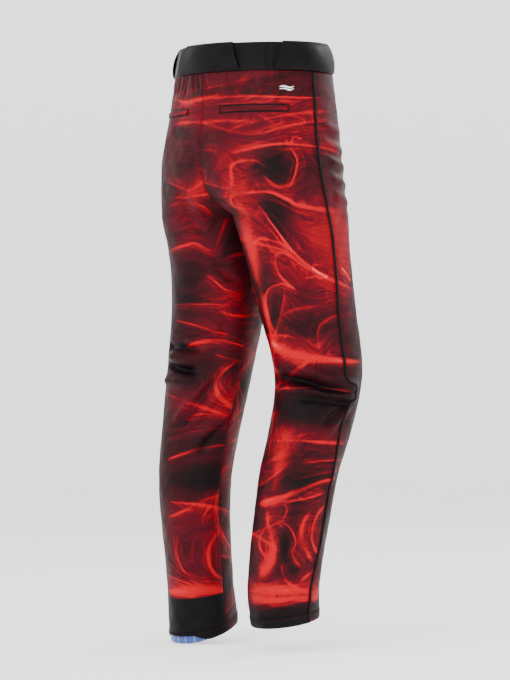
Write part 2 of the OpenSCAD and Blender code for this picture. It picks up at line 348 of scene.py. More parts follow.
    def relief(self, side: Side, depth: Array, angle: Array) -> Array:
        """How far the folds lift the cloth off the bare skin.

        Args:
            side: Which half.
            depth: Depths below the rim.
            angle: Angles from the back.

        Returns:
            Heights in millimetres.
        """
        depth, angle = np.broadcast_arrays(np.asarray(depth, float), np.asarray(angle, float))
        flat_depth, flat_angle = depth.ravel(), angle.ravel()
        rise = np.zeros(flat_depth.shape)
        for fold in self.folds:
            index, gap, signed, along = self.trace(fold, side, flat_depth, flat_angle)
            taper = ease(along / 0.25) * ease((1 - along) / 0.25)
            bell = np.exp(-((gap / fold.width) ** 2))
            lift = fold.weight * bell * (1 + fold.lean * 1.6 * signed / fold.width)
            rise[index] += lift * taper
        point = self.bare(side, flat_depth, flat_angle, 0)
        waves = ((7, 71, 0.35), (11, 47, 0.2), (5, 93, 0.5), (17, 29, 0.12))
        calm = ease((flat_depth - self.band) / 60)
        for seed, length, height in waves:
            lean = np.array([math.sin(seed), math.cos(2.3 * seed), 0.8 * math.sin(1.7 * seed + 1)])
            rise += calm * height * np.sin(point @ lean * (2 * math.pi / length) + seed)
        return rise.reshape(depth.shape)

    def layers(
        self, side: Side, depth: Array, angle: Array, outer: Array | float, inner: Array | float
    ) -> tuple[Array, Array]:
        """Points on two faces that follow the folded cloth.

        Args:
            side: Which half.
            depth: Depths below the rim.
            angle: Angles from the back.
            outer: Distance of the first face outside the cloth's own.
            inner: Distance of the second.

        Returns:
            Both faces' points in metres.
        """
        lift = self.relief(side, depth, angle)[..., None]
        base, normal = self.bare(side, depth, angle, 0), self.normal(side, depth, angle)
        return tuple((base + normal * (lift + np.asarray(off)[..., None])) * MM for off in (outer, inner))

    def at(self, side: Side, depth: Array, angle: Array, off: Array | float = 0.0) -> Array:
        """Points on the folded cloth.

        Args:
            side: Which half.
            depth: Depths below the rim.
            angle: Angles from the back.
            off: Distance outside the cloth's face.

        Returns:
            Points in metres.
        """
        depth, angle = np.broadcast_arrays(np.asarray(depth, float), np.asarray(angle, float))
        return self.layers(side, depth, angle, off, off)[0]


# ------------------------------------------------------------------ shader expressions


class Signal:
    """A node's output that Python expressions can carry on from."""

    def __init__(self, tree: "Tree", socket: bpy.types.NodeSocket) -> None:
        """Wraps a socket of a tree."""
        self.tree = tree
        self.socket = socket

    def _math(self, operation: str, first: "Signal | float", second: "Signal | float") -> "Signal":
        """Adds a Math node for two operands."""
        return self.tree.make("ShaderNodeMath", {"operation": operation}, {0: first, 1: second})

    def __add__(self, other: "Signal | float") -> "Signal":
        """Sum."""
        return self._math("ADD", self, other)

    __radd__ = __add__

    def __mul__(self, other: "Signal | float") -> "Signal":
        """Product."""
        return self._math("MULTIPLY", self, other)

    __rmul__ = __mul__

    def __sub__(self, other: "Signal | float") -> "Signal":
        """Difference."""
        return self._math("SUBTRACT", self, other)

    def __rsub__(self, other: float) -> "Signal":
        """Difference from a number."""
        return self._math("SUBTRACT", other, self)

    def __truediv__(self, other: "Signal | float") -> "Signal":
        """Quotient."""
        return self._math("DIVIDE", self, other)

    def __pow__(self, other: float) -> "Signal":
        """Power."""
        return self._math("POWER", self, other)

    def __gt__(self, other: float) -> "Signal":
        """1 where the signal is above a number."""
        return self._math("GREATER_THAN", self, other)

    def sine(self) -> "Signal":
        """Sine of the signal in radians."""
        return self._math("SINE", self, 0.0)

    def size(self) -> "Signal":
        """Absolute value."""
        return self._math("ABSOLUTE", self, 0.0)

    def span(self, low: float, high: float, to_low: float = 0.0, to_high: float = 1.0) -> "Signal":
        """Maps a range of the signal onto another, clamped.

        Args:
            low: Start of the range.
            high: End of the range.
            to_low: Value at the start.
            to_high: Value at the end.

        Returns:
            The mapped signal.
        """
        return self.tree.make(
            "ShaderNodeMapRange",
            {"clamp": True, "interpolation_type": "SMOOTHSTEP"},
            {"Value": self, "From Min": low, "From Max": high, "To Min": to_low, "To Max": to_high},
        )


Feed = Signal | float | tuple[float, ...]


class Tree:
    """A material's nodes."""

    def __init__(self, name: str) -> None:
        """Starts a material that holds only its Principled shader and output."""
        self.material = bpy.data.materials.new(name)
        self.material.use_nodes = True
        self.nodes = self.material.node_tree.nodes
        self.links = self.material.node_tree.links
        self.shader = self.nodes["Principled BSDF"]

    def feed(self, node: bpy.types.Node, inputs: dict[str | int, Feed]) -> None:
        """Sets a node's sockets.

        Args:
            node: The node.
            inputs: Values or signals by socket name or number.
        """
        for key, value in inputs.items():
            socket = node.inputs[key]
            if isinstance(value, Signal):
                self.links.new(value.socket, socket)
            elif isinstance(value, tuple) and len(value) == 3 and socket.type == "RGBA":
                socket.default_value = (*value, 1.0)
            else:
                socket.default_value = value

    def make(
        self,
        kind: str,
        settings: dict[str, object] | None = None,
        inputs: dict[str | int, Feed] | None = None,
        out: int | str = 0,
        stops: Sequence[tuple[float, tuple[float, float, float]]] = (),
    ) -> Signal:
        """Adds a node.

        Args:
            kind: The node's type.
            settings: Properties, set first.
            inputs: Values or signals by socket name or number.
            out: The output to carry on from.
            stops: Places and colours of a colour ramp.

        Returns:
            The output as a signal.
        """
        node = self.nodes.new(kind)
        for key, value in (settings or {}).items():
            setattr(node, key, value)
        if stops:
            ramp = node.color_ramp
            while len(ramp.elements) < len(stops):
                ramp.elements.new(0.5)
            for element, (place, colour) in zip(ramp.elements, stops):
                element.position = place
                element.color = (*colour, 1.0)
        self.feed(node, inputs or {})
        return Signal(self, node.outputs[out])

    def colour_mix(self, first: Feed, second: Feed, share: Feed, blend: str = "MIX") -> Signal:
        """Mixes two colours.

        Args:
            first: Colour at 0.
            second: Colour at 1.
            share: How much of the second.
            blend: The blend type.

        Returns:
            The mixed colour.
        """
        settings = {"data_type": "RGBA", "blend_type": blend, "clamp_result": False}
        return self.make("ShaderNodeMix", settings, {0: share, 6: first, 7: second}, 2)

    def attribute(self, name: str, out: str = "Fac") -> Signal:
        """Reads a mesh attribute."""
        return self.make("ShaderNodeAttribute", {"attribute_name": name}, out=out)

    def cloth(self) -> tuple[Signal, Signal, Signal]:
        """Metres across and along the cloth, and from its nearest cut edge."""
        split = self.make("ShaderNodeSeparateXYZ", inputs={0: self.attribute("cloth", "Vector")})
        return split, Signal(self, split.socket.node.outputs[1]), Signal(self, split.socket.node.outputs[2])

    def noise(
        self, scale: float, detail: float = 3.0, warp: float = 0.0, where: Signal | None = None
    ) -> Signal:
        """Adds a noise texture in object space.

        Args:
            scale: Its scale per metre.
            detail: Its octaves.
            warp: Its distortion.
            where: Other coordinates, if any.

        Returns:
            Values from 0 to 1.
        """
        place = where or self.make("ShaderNodeTexCoord", out="Object")
        return self.make(
            "ShaderNodeTexNoise", inputs={"Vector": place, "Scale": scale, "Detail": detail, "Distortion": warp}
        )

    def bump(self, height: Signal, strength: float, distance: float, under: Signal | None = None) -> Signal:
        """Adds a Bump node.

        Args:
            height: The height signal.
            strength: Share of the bump.
            distance: Height in metres of 1.
            under: A normal to build on.

        Returns:
            The bent normal.
        """
        inputs = {"Height": height, "Strength": strength, "Distance": distance}
        if under:
            inputs["Normal"] = under
        return self.make("ShaderNodeBump", inputs=inputs)

    def finish(self, **sockets: Feed) -> bpy.types.Material:
        """Sets the shader's own sockets, with underscores for spaces, and returns the material."""
        self.feed(self.shader, {key.replace("_", " "): value for key, value in sockets.items()})
        return self.material


TURN = 2 * math.pi


def loops(tree: Tree, wale: float, course: float) -> Signal:
    """The relief of a jersey knit: rows of small loops.

    Args:
        tree: The material's nodes.
        wale: Width of a loop in metres.
        course: Height of a loop in metres.

    Returns:
        Heights from 0 to 1.
    """
    across, along, _ = tree.cloth()
    vee = (across * (TURN / wale)).sine()
    row = (along * (TURN / course) + vee.size() * 2.2).sine()
    return row * 0.35 + vee.size() * 0.4 + 0.3


@dataclass(frozen=True)
class PrintedKnit:
    """Thin satin knit with a smoke print in red on a charcoal ground."""

    ground: tuple[float, float, float] = (0.0032, 0.0018, 0.0022)
    haze: tuple[float, float, float] = (0.06, 0.001, 0.006)
    red: tuple[float, float, float] = (0.44, 0.0, 0.006)
    hot: tuple[float, float, float] = (0.9, 0.06, 0.07)

    def build(self) -> bpy.types.Material:
        """Builds the material."""
        tree = Tree("printed_knit")
        # The third attribute holds the print's dark patches together with painted shade in deep folds and painted
        # shadow lines at the pocket slits.
        veil, glow, soot = (tree.attribute(name) for name in ("veil", "glow", "soot"))
        flow = tree.attribute("flow", "Vector")
        broad = 1 - (tree.noise(95.0, 2.0, 0.5, flow) * 2 - 1).size() * 2.6
        fine = 1 - (tree.noise(250.0, 2.0, 0.3, flow) * 2 - 1).size() * 2.6
        thread = broad.span(0.45, 1.0) * veil.span(0.1, 0.9, 0.02, 0.24)
        hair = fine.span(0.4, 1.0) * veil.span(0.1, 0.9, 0.11, 0.25) * (1 - soot * 0.6)
        cloud = tree.noise(60.0, 3.0, 0.3, flow).span(0.3, 0.75, 0.55, 1.3)
        haze = veil * cloud * (1 - soot * 0.85)
        light = glow + thread + hair
        base = tree.colour_mix(self.ground, self.haze, haze.span(0.0, 0.55))
        base = tree.colour_mix(base, (0.19, 0.0, 0.005), haze.span(0.5, 1.5))
        base = tree.colour_mix(base, self.red, (light * (1 - soot * 0.6)).span(0.05, 0.95))
        base = tree.colour_mix(base, self.hot, light.span(1.25, 2.8, 0.0, 0.9))
        # near black where the dark print and the painted shade are strongest
        base = tree.colour_mix(base, (0.0024, 0.0024, 0.0026), soot.span(1.0, 1.7))
        knit = loops(tree, 0.0011, 0.0009)
        # painted shade between the knit's loops: darker where the loop relief is low
        base = tree.colour_mix(base, (0.0, 0.0, 0.0), (1 - knit) * 0.16)
        _, along, edge = tree.cloth()
        stitch = (along * (TURN / 0.003)).sine().span(-0.2, 0.4) * (
            1 - ((edge - 0.0045).size() * 1600).span(0.4, 1.0)
        )
        # painted shade: darker within about 2 mm of each cut edge, where the cloth rolls into the seam
        seam_roll_shade = 1 - (edge * 1000).span(0.2, 2.2)
        base = tree.colour_mix(base, (0.02, 0.004, 0.005), stitch * 0.55)
        base = tree.colour_mix(base, (0.006, 0.002, 0.002), seam_roll_shade * 0.25)
        crease = tree.noise(46.0, 3.0, 0.8)
        normal = tree.bump(knit, 0.35, 0.0003)
        normal = tree.bump(crease, 0.25, 0.0016, normal)
        normal = tree.bump(stitch, 0.6, 0.0006, normal)
        return tree.finish(
            Base_Color=base,
            Roughness=tree.noise(9.0).span(0.3, 0.7, 0.42, 0.54),
            Normal=normal,
            Specular_IOR_Level=0.07,
        )


@dataclass(frozen=True)
class PlainKnit:
    """A plain knit or woven cloth in one dye.

    Attributes:
        name: The material's name.
        dye: Its colour.
        wale: Width of a loop in metres.
        course: Height of a loop in metres.
        rough: Its roughness.
        sheen: Weight of its sheen; not used.
        relief: Height of its loops in metres.
    """

    name: str
    dye: tuple[float, float, float]
    wale: float = 0.0012
    course: float = 0.001
    rough: float = 0.5
    sheen: float = 0.25
    relief: float = 0.0003

    def build(self) -> bpy.types.Material:
        """Builds the material."""
        tree = Tree(self.name)
        knit = loops(tree, self.wale, self.course)
        worn = tree.noise(34.0, 4.0).span(0.25, 0.8, 0.0, 0.5)
        pale = tuple(min(1.0, c * 1.7 + 0.002) for c in self.dye)
        # dark is the painted shade between the loops, mixed in below where the loop relief is low
        dark = tuple(c * 0.5 for c in self.dye)
        base = tree.colour_mix(self.dye, pale, worn)
        base = tree.colour_mix(base, dark, (1 - knit).span(0.1, 0.9, 0.0, 0.5))
        normal = tree.bump(tree.noise(60.0, 3.0), 0.25, 0.001, tree.bump(knit, 0.5, self.relief))
        return tree.finish(
            Base_Color=base,
            Roughness=tree.noise(21.0).span(0.3, 0.7, self.rough - 0.06, self.rough + 0.08),
            Normal=normal,
            Specular_IOR_Level=0.06,
        )


@dataclass(frozen=True)
class GripTape:
    """Blue woven tape with pale ticks along its lower half."""

    def build(self) -> bpy.types.Material:
        """Builds the material."""
        tree = Tree("grip_tape")
        across, along, _ = tree.cloth()
        weave = (across * (TURN / 0.0008)).sine() * (along * (TURN / 0.0008)).sine()
        blue = tree.colour_mix((0.008, 0.035, 0.2), (0.014, 0.06, 0.3), tree.noise(30.0, 3.0).span(0.3, 0.7))
        tick = (across * (TURN / 0.018)).sine().span(0.9, 0.97)
        base = tree.colour_mix(blue, (0.3, 0.4, 0.6), tick * 0.6)
        return tree.finish(
            Base_Color=base,
            Roughness=tree.noise(40.0).span(0.3, 0.7, 0.42, 0.56),
            Normal=tree.bump(weave, 0.4, 0.0002),
            Sheen_Weight=0.2,
        )


@dataclass(frozen=True)
class Metal:
    """Plated metal with fine scratches.

    Attributes:
        name: The material's name.
        tint: Its colour.
        rough: Its roughness.
    """

    name: str
    tint: tuple[float, float, float]
    rough: float = 0.28

    def build(self) -> bpy.types.Material:
        """Builds the material."""
        tree = Tree(self.name)
        place = tree.make("ShaderNodeTexCoord", out="Object")
        drawn = tree.make("ShaderNodeMapping", inputs={"Vector": place, "Scale": (1.0, 1.0, 0.08)})
        scratch = tree.noise(2600.0, 3.0, 0.0, drawn)
        stain = tree.noise(220.0, 3.0)
        base = tree.colour_mix(self.tint, tuple(c * 0.55 for c in self.tint), stain.span(0.45, 0.8, 0.0, 0.6))
        return tree.finish(
            Base_Color=base,
            Metallic=stain.span(0.2, 0.9, 1.0, 0.9),
            Roughness=scratch.span(0.3, 0.7, self.rough - 0.06, self.rough + 0.12),
            Normal=tree.bump(scratch, 0.2, 0.00005),
        )


@dataclass(frozen=True)
class Moulded:
    """Plastic or a print, with a faint grain.

    Attributes:
        name: The material's name.
        tint: Its colour.
        rough: Its roughness.
    """

    name: str
    tint: tuple[float, float, float]
    rough: float = 0.35

    def build(self) -> bpy.types.Material:
        """Builds the material."""
        tree = Tree(self.name)
        grain = tree.noise(900.0, 3.0)
        dull = tuple(c * 0.7 for c in self.tint)
        return tree.finish(
            Base_Color=tree.colour_mix(self.tint, dull, grain.span(0.4, 0.8, 0.0, 0.6)),
            Roughness=grain.span(0.3, 0.7, self.rough - 0.05, self.rough + 0.1),
            Normal=tree.bump(grain, 0.2, 0.0001),
        )


class Wardrobe:
    """The materials, each built once."""

    def __init__(self) -> None:
        """Builds every finish."""
        self.print = PrintedKnit().build()
        self.black = PlainKnit("black_knit", (0.0024, 0.0025, 0.0027), rough=0.36).build()
        self.piping = PlainKnit(
            "piping_cord", (0.003, 0.003, 0.0033), 0.0009, 0.0016, 0.5, 0.1, 0.0004
        ).build()
        self.lining = PlainKnit("mesh_lining", (0.012, 0.012, 0.013), 0.0022, 0.002, 0.7, 0.3, 0.0005).build()
        self.elastic = PlainKnit(
            "ribbed_elastic", (0.012, 0.012, 0.013), 0.003, 0.0008, 0.65, 0.2, 0.0008
        ).build()
        self.webbing = PlainKnit(
            "zip_webbing", (0.006, 0.006, 0.0065), 0.0008, 0.0006, 0.6, 0.1, 0.0002
        ).build()
        self.thread = PlainKnit("thread", (0.008, 0.008, 0.009), 0.0006, 0.0004, 0.45, 0.3, 0.0001).build()
        self.red_thread = PlainKnit(
            "red_thread", (0.05, 0.003, 0.004), 0.0006, 0.0004, 0.5, 0.2, 0.0001
        ).build()
        self.satin = PlainKnit("label_satin", (0.72, 0.72, 0.7), 0.0005, 0.0005, 0.4, 0.3, 0.0001).build()
        self.tape = GripTape().build()
        self.coil = Moulded("coil_plastic", (0.02, 0.02, 0.022), 0.3).build()
        self.mark = Moulded("mark_ink", (0.85, 0.85, 0.83), 0.5).build()
        self.zip_metal = Metal("dark_plate", (0.2, 0.2, 0.21), 0.3).build()
        self.snap_metal = Metal("bright_plate", (0.55, 0.55, 0.57), 0.24).build()


# ------------------------------------------------------------------ the smoke print


@dataclass(frozen=True)
class Blot:
    """A soft patch of the print, or of painted shade.

    Attributes:
        side: The half it is on.
        depth: Its middle's depth in millimetres.
        angle: Its middle's angle in degrees.
        tall: Half-height in millimetres.
        wide: Half-width in millimetres.
        weight: Its strength.
    """

    side: Side
    depth: float
    angle: float
    tall: float
    wide: float
    weight: float


def wisp(side: Side, width: float, weight: float, veil: float, *points: tuple[float, float]) -> Stroke:
    """A bright line of the print.

    Args:
        side: The half it is on.
        width: Half-width in millimetres.
        weight: Brightness.
        veil: Half-width of the haze along one side of it, negative for the other side.
        points: Depths in millimetres and angles in degrees.

    Returns:
        The stroke.
    """
    return Stroke(side, points, width * (0.72 if width < 6 else 0.9), weight, veil)


L, R = Side.LEFT, Side.RIGHT

WISPS = [
    # seat and hip
    wisp(R, 3, 1.0, -12, (88, -40), (100, -16), (96, -2), (95, 16), (96, 44), (98, 64), (96, 112)),
    wisp(
        R, 3, 0.6, 14, (136, -40), (136, -16), (140, 2), (160, 28), (162, 42), (148, 64), (140, 82), (136, 108)
    ),
    wisp(R, 2.6, 0.5, 10, (156, 18), (144, 36), (132, 56), (124, 78), (120, 110)),
    wisp(
        R, 3, 0.7, 14, (232, -38), (246, -12), (256, 6), (244, 14), (216, 20), (208, 32), (212, 40), (232, 49)
    ),
    wisp(
        R, 3.4, 1.1, 10, (200, 16), (192, 28), (184, 44), (180, 56), (181, 68), (184, 86), (188, 100), (196, 116)
    ),
    wisp(
        R, 3, 0.9, 6, (184, 62), (196, 66), (212, 68), (236, 64), (252, 58), (254, 50), (246, 44), (228, 40)
    ),
    wisp(R, 2.4, 0.6, 5, (184, 64), (172, 66), (168, 68), (172, 74)),
    wisp(R, 3, 0.35, 8, (188, -2), (188, 8), (200, 12), (212, 10), (224, 4)),
    wisp(
        R, 3.6, 1.2, 10, (296, -10), (280, -4), (268, 6), (264, 22), (264, 40), (276, 52), (290, 68), (300, 132)
    ),
    # right thigh
    wisp(R, 14, 0.75, 0, (268, 10), (300, -2), (332, -6), (368, -9), (404, -12), (440, -12)),
    wisp(R, 7, 1.0, 0, (430, -12), (456, -11), (488, -14), (516, -13), (540, -5)),
    wisp(
        R, 3.4, 1.7, -34, (266, 22), (300, 25), (328, 32), (360, 41), (384, 52), (404, 68), (416, 84), (436, 132)
    ),
    wisp(R, 2.2, 1.3, 0, (358, -4), (345, 6), (344, 14), (348, 24), (356, 36), (372, 44)),
    wisp(
        R, 3, 0.8, 8, (440, 42), (424, 30), (408, 22), (388, 20), (372, 24), (368, 32), (376, 40), (388, 52)
    ),
    wisp(R, 3.4, 0.9, 6, (432, 38), (424, 28), (424, 14), (432, 2), (452, -8), (490, -10), (528, -2)),
    wisp(R, 2.6, 0.35, 6, (416, 76), (436, 72), (452, 72), (460, 62), (464, 40), (472, 20), (488, 8)),
    wisp(R, 3, 0.5, 8, (468, 132), (476, 88), (484, 68), (500, 54), (528, 50), (548, 54)),
    wisp(R, 3.5, 3.2, 0, (392, 58), (400, 64), (406, 71), (411, 78)),
    wisp(R, 3, 2.4, 0, (392, 98), (402, 108), (418, 120)),
    # right knee and calf
    wisp(R, 8, 1.4, 0, (512, -28), (528, -16), (540, 4), (548, 24), (552, 46), (556, 76), (560, 132)),
    wisp(R, 2.4, 0.8, 0, (608, -20), (604, 20), (604, 54), (612, 98)),
    wisp(R, 2.8, 0.8, 8, (696, -14), (696, 34), (700, 72), (704, 122)),
    wisp(R, 16, 0.55, 0, (668, -12), (696, 6), (720, 12), (756, 12), (792, 10)),
    wisp(R, 2.4, 0.8, 4, (736, 44), (732, 72), (732, 132)),
    wisp(R, 2.4, 0.45, 6, (764, 28), (760, 54), (752, 86), (748, 132)),
    wisp(R, 5, 1.3, 0, (808, -28), (800, 6), (792, 30), (780, 54), (768, 80), (760, 132)),
    wisp(R, 3.4, 0.9, 8, (812, -22), (804, 16), (800, 42), (796, 62), (784, 102)),
    # flames above the right hem
    wisp(R, 8, 1.0, 0, (812, 4), (840, 8), (868, 20), (896, 22), (916, 12), (930, -6)),
    wisp(R, 2.4, 0.7, 4, (844, 8), (860, -4), (876, -6), (892, 6), (904, 20)),
    wisp(R, 3, 0.5, 4, (804, 28), (816, 36), (832, 32), (844, 28)),
    wisp(R, 3, 0.6, 4, (852, 28), (840, 36), (852, 48), (872, 56), (888, 52), (904, 60), (920, 76)),
    wisp(R, 5, 0.6, 0, (816, 74), (836, 64), (864, 64), (888, 76), (912, 94)),
    wisp(R, 3, 0.9, 6, (804, 102), (828, 84), (856, 80), (884, 90), (904, 114)),
    wisp(R, 3, 0.7, 5, (904, 38), (924, 42), (940, 54), (948, 72)),
    wisp(R, 3, 0.8, 0, (920, 100), (928, 84), (940, 68)),
    wisp(R, 7, 1.2, 0, (948, -40), (948, 32), (952, 72), (964, 134)),
    wisp(R, 7, 1.1, 0, (960, -40), (964, 32), (966, 72), (976, 134)),
    wisp(R, 2, 0.6, 0, (998, -12), (1004, 38), (1008, 70), (1011, 110)),
    # left thigh
    wisp(L, 2.8, 0.7, 8, (364, 40), (352, -4), (348, -22), (360, -40), (336, -50), (312, -57), (296, -62)),
    wisp(L, 2.6, 0.4, 8, (284, 20), (276, -4), (276, -20), (288, -36), (304, -46)),
    wisp(L, 2.4, 0.4, 6, (378, -50), (368, -64), (364, -84)),
    wisp(L, 2.6, 0.6, 6, (400, -30), (412, -40), (428, -52), (436, -68), (440, -86)),
    wisp(L, 2.6, 0.7, 6, (456, 32), (456, -10), (456, -34), (456, -54), (448, -66), (452, -80)),
    wisp(L, 2.8, 0.5, 6, (480, 30), (492, -16), (504, -46), (512, -68)),
    wisp(L, 2.8, 0.9, 8, (536, 2), (524, -28), (520, -52), (528, -80), (534, -100)),
    # left knee and calf
    wisp(L, 2.4, 0.4, 4, (544, -46), (556, -80), (560, -104)),
    wisp(L, 5, 0.8, 6, (552, -88), (576, -66), (596, -58), (620, -64), (636, -84), (648, -114)),
    wisp(L, 2.8, 0.6, 8, (612, 40), (628, -16), (644, -52), (656, -86), (664, -114)),
    wisp(L, 2.6, 0.45, 6, (664, -12), (652, -42), (656, -72), (672, -112)),
    wisp(L, 2.6, 0.35, 6, (700, 16), (684, -32), (676, -72), (676, -112)),
    wisp(L, 2.6, 0.55, 6, (736, 10), (724, -20), (712, -52), (704, -104)),
    wisp(L, 2.8, 0.6, 8, (840, 12), (824, -28), (808, -54), (800, -74), (796, -100)),
    wisp(L, 2.8, 0.5, 5, (852, -56), (828, -62), (812, -76)),
    wisp(L, 4, 1.0, 8, (848, -108), (864, -86), (888, -68), (912, -64), (936, -74), (956, -104)),
    wisp(L, 2.8, 0.6, 8, (864, -16), (896, -8), (924, -16), (940, -38), (952, -76)),
    wisp(L, 2.8, 0.7, 6, (936, 40), (944, -16), (956, -46), (962, -88)),
    wisp(L, 7, 1.2, 0, (964, 40), (960, -28), (964, -68), (974, -114)),
]

CLOUDS = [
    Blot(R, 245, 16, 40, 30, 1.3),
    Blot(R, 345, 84, 55, 50, 1.5),
    Blot(R, 350, 116, 50, 40, 1.3),
    Blot(R, 475, 60, 55, 65, 0.1),
    Blot(R, 540, 26, 20, 60, 1.1),
    Blot(R, 690, 14, 20, 25, 1.0),
    Blot(R, 952, 48, 22, 90, 1.1),
    Blot(R, 155, 72, 35, 70, 0.25),
    Blot(R, 850, 14, 70, 20, 0.6),
    Blot(R, 730, 30, 60, 70, 0.2),
    Blot(L, 640, -40, 60, 70, 0.25),
    Blot(L, 880, -20, 70, 60, 0.3),
    Blot(R, 850, 76, 70, 25, 0.4),
    Blot(L, 620, -80, 30, 35, 0.8),
    Blot(L, 960, -46, 14, 80, 0.9),
    Blot(L, 315, -20, 55, 45, 0.35),
    Blot(L, 110, 24, 35, 45, 0.35),
    Blot(L, 450, -56, 70, 45, 0.35),
    Blot(L, 895, -68, 55, 45, 0.35),
]

# Dark patches: most are dark parts of the print, and some are painted shadow under folds, such as at the right
# knee.
SHADES = [
    Blot(L, 150, 20, 10, 25, 0.6),
    Blot(L, 210, -2, 30, 40, 0.45),
    Blot(R, 215, 50, 28, 28, 0.9),
    Blot(R, 300, 32, 40, 28, 0.9),
    Blot(R, 640, 32, 25, 60, 0.9),
    Blot(R, 765, 56, 15, 45, 0.7),
    Blot(R, 875, 40, 25, 10, 0.8),
    Blot(R, 925, 56, 15, 20, 0.7),
    Blot(R, 988, 48, 14, 75, 0.9),
    Blot(R, 475, 54, 65, 75, 0.35),
    Blot(R, 750, 44, 70, 65, 0.4),
    Blot(L, 390, -12, 30, 30, 0.3),
    Blot(L, 770, -62, 25, 60, 0.9),
    Blot(L, 585, -20, 20, 35, 0.5),
    Blot(L, 345, -56, 30, 25, 0.5),
    Blot(L, 450, -4, 25, 45, 0.4),
    Blot(L, 695, -54, 25, 60, 0.5),
    Blot(L, 875, -44, 45, 45, 0.4),
]


@dataclass
class SmokePrint:
    """The print, with painted shade in deep folds and at the pocket slits: placed wisps where the back shows
    them, and drifting ones elsewhere.
    """

    skin: Skin
    drifting: int = 120
    strokes: list[Stroke] = field(default_factory=lambda: list(WISPS))
    clouds: list[Blot] = field(default_factory=lambda: list(CLOUDS))
    shades: list[Blot] = field(default_factory=lambda: list(SHADES))
    # depths of the painted shadow lines that stand in for the shaded pocket slits, which are not cut
    slit_shadow_depths: tuple[float, float] = (111.0, 122.5)

    def __post_init__(self) -> None:
        """Adds the drifting wisps and their clouds."""
        rng = np.random.default_rng(7)
        for side, low, high in ((Side.RIGHT, 136, 262), (Side.LEFT, 46, 232)):
            for _ in range(self.drifting // 2):
                depth, angle = rng.uniform(60, self.skin.hems[side] - 40), rng.uniform(low, high)
                heading, bend = rng.uniform(-0.8, 0.8), rng.uniform(-0.3, 0.3)
                points = []
                for _ in range(rng.integers(6, 11)):
                    points.append((depth, angle))
                    depth += 26 * math.sin(heading)
                    angle += 22 * math.cos(heading)
                    heading += bend
                veil = rng.choice((-1, 1)) * rng.uniform(6, 15)
                soft = rng.uniform(0.0, 0.3), rng.uniform(0.1, 0.5)
                self.clouds.append(
                    Blot(side, depth, angle, rng.uniform(20, 60), rng.uniform(25, 60), soft[0])
                )
                self.shades.append(
                    Blot(side, depth - 70, angle, rng.uniform(15, 40), rng.uniform(25, 50), soft[1])
                )
                self.strokes.append(Stroke(side, points, rng.uniform(1.7, 2.6), rng.uniform(0.3, 0.85), veil))

    def blot(self, blots: Sequence[Blot], side: Side, depth: Array, angle: Array) -> Array:
        """Adds up soft patches.

        Args:
            blots: The patches.
            side: Which half the points are on.
            depth: Depths below the rim.
            angle: Angles from the back.

        Returns:
            Their sum at each point.
        """
        radius = self.skin.reach(side, depth)
        total = np.zeros(depth.shape)
        for spot in blots:
            turn = angle if side == spot.side else -angle
            near = 1.0 if side == spot.side else (depth < self.skin.crotch - 20) * 1.0
            across = np.radians(turn - spot.angle) * radius
            total += near * spot.weight * np.exp(
                -(((depth - spot.depth) / spot.tall) ** 2) - (across / spot.wide) ** 2
            )
        return total

    def paint(self, side: Side, depth: Array, angle: Array) -> dict[str, Array]:
        """Paints points on the cloth.

        Args:
            side: Which half the points are on.
            depth: Depths below the rim.
            angle: Angles from the back.

        Returns:
            The haze, the light and the shade at each point, and where it lies across the smoke's flow; the shade
            is dark print together with painted shade of deep folds and painted shadow lines at the pocket slits.
        """
        depth, angle = depth.ravel(), angle.ravel()
        veil = 0.2 + 0.12 * ease((300 - depth) / 120) + self.blot(self.clouds, side, depth, angle)
        glow = np.zeros(depth.shape)
        weight = np.full(depth.shape, 0.12)
        phase = depth * weight
        for number, stroke in enumerate(self.strokes):
            index, gap, signed, along = self.skin.trace(stroke, side, depth, angle)
            if not len(index):
                continue
            taper = ease(along / 0.16) * ease((1 - along) / 0.16)
            uneven = 0.8 + 0.35 * np.sin(along * 9 + number)
            width = stroke.width * (0.65 + 0.5 * taper) * (0.8 + 0.3 * np.sin(along * 5 + 2 * number))
            glow[index] += stroke.weight * uneven * taper * np.exp(-((gap / width) ** 2))
            middle = np.mean([point[0] for point in stroke.points])
            near = taper * np.exp(-((gap / 24) ** 2))
            weight[index] += near
            phase[index] += near * (middle + signed)
            for strand in range(5):
                sway = math.sin(3.1 * strand + number) * 7 + (4 + 4 * strand) * np.sin(
                    along * 3 + 1.7 * strand + number
                )
                faint = 0.2 * stroke.weight * taper * (0.5 + 0.5 * np.sin(along * 6 + 2 * strand + number))
                glow[index] += faint * np.exp(-(((signed - sway) / 1.6) ** 2))
            if stroke.lean:
                inside = np.where(signed * stroke.lean > 0, np.exp(-np.abs(signed) / abs(stroke.lean)), 0)
                smooth = np.where(inside > 0, 1.0, np.exp(-((gap / 2.0) ** 2)))
                veil[index] += 0.75 * stroke.weight * taper * np.maximum(inside, 0) * smooth
        # the listed dark patches, dark print with painted fold shadows among them; painted shade is added below
        shade = self.blot(self.shades, side, depth, angle)
        hem = self.skin.hems[side]
        if side == Side.LEFT:
            shade += 2.2 * ease((depth - 970) / 4) * ease((angle + 150) / 20) * (angle < 89)
        # painted shade: each valley fold deeper than 4 mm darkens the print along it, more for deeper folds
        for fold in self.skin.folds:
            if fold.weight < -4:
                index, gap, _, along = self.skin.trace(fold, side, depth, angle)
                crease_shade = -0.085 * fold.weight * np.exp(-((gap / fold.width / 0.9) ** 2))
                shade[index] += crease_shade * ease(along / 0.2) * ease((1 - along) / 0.2)
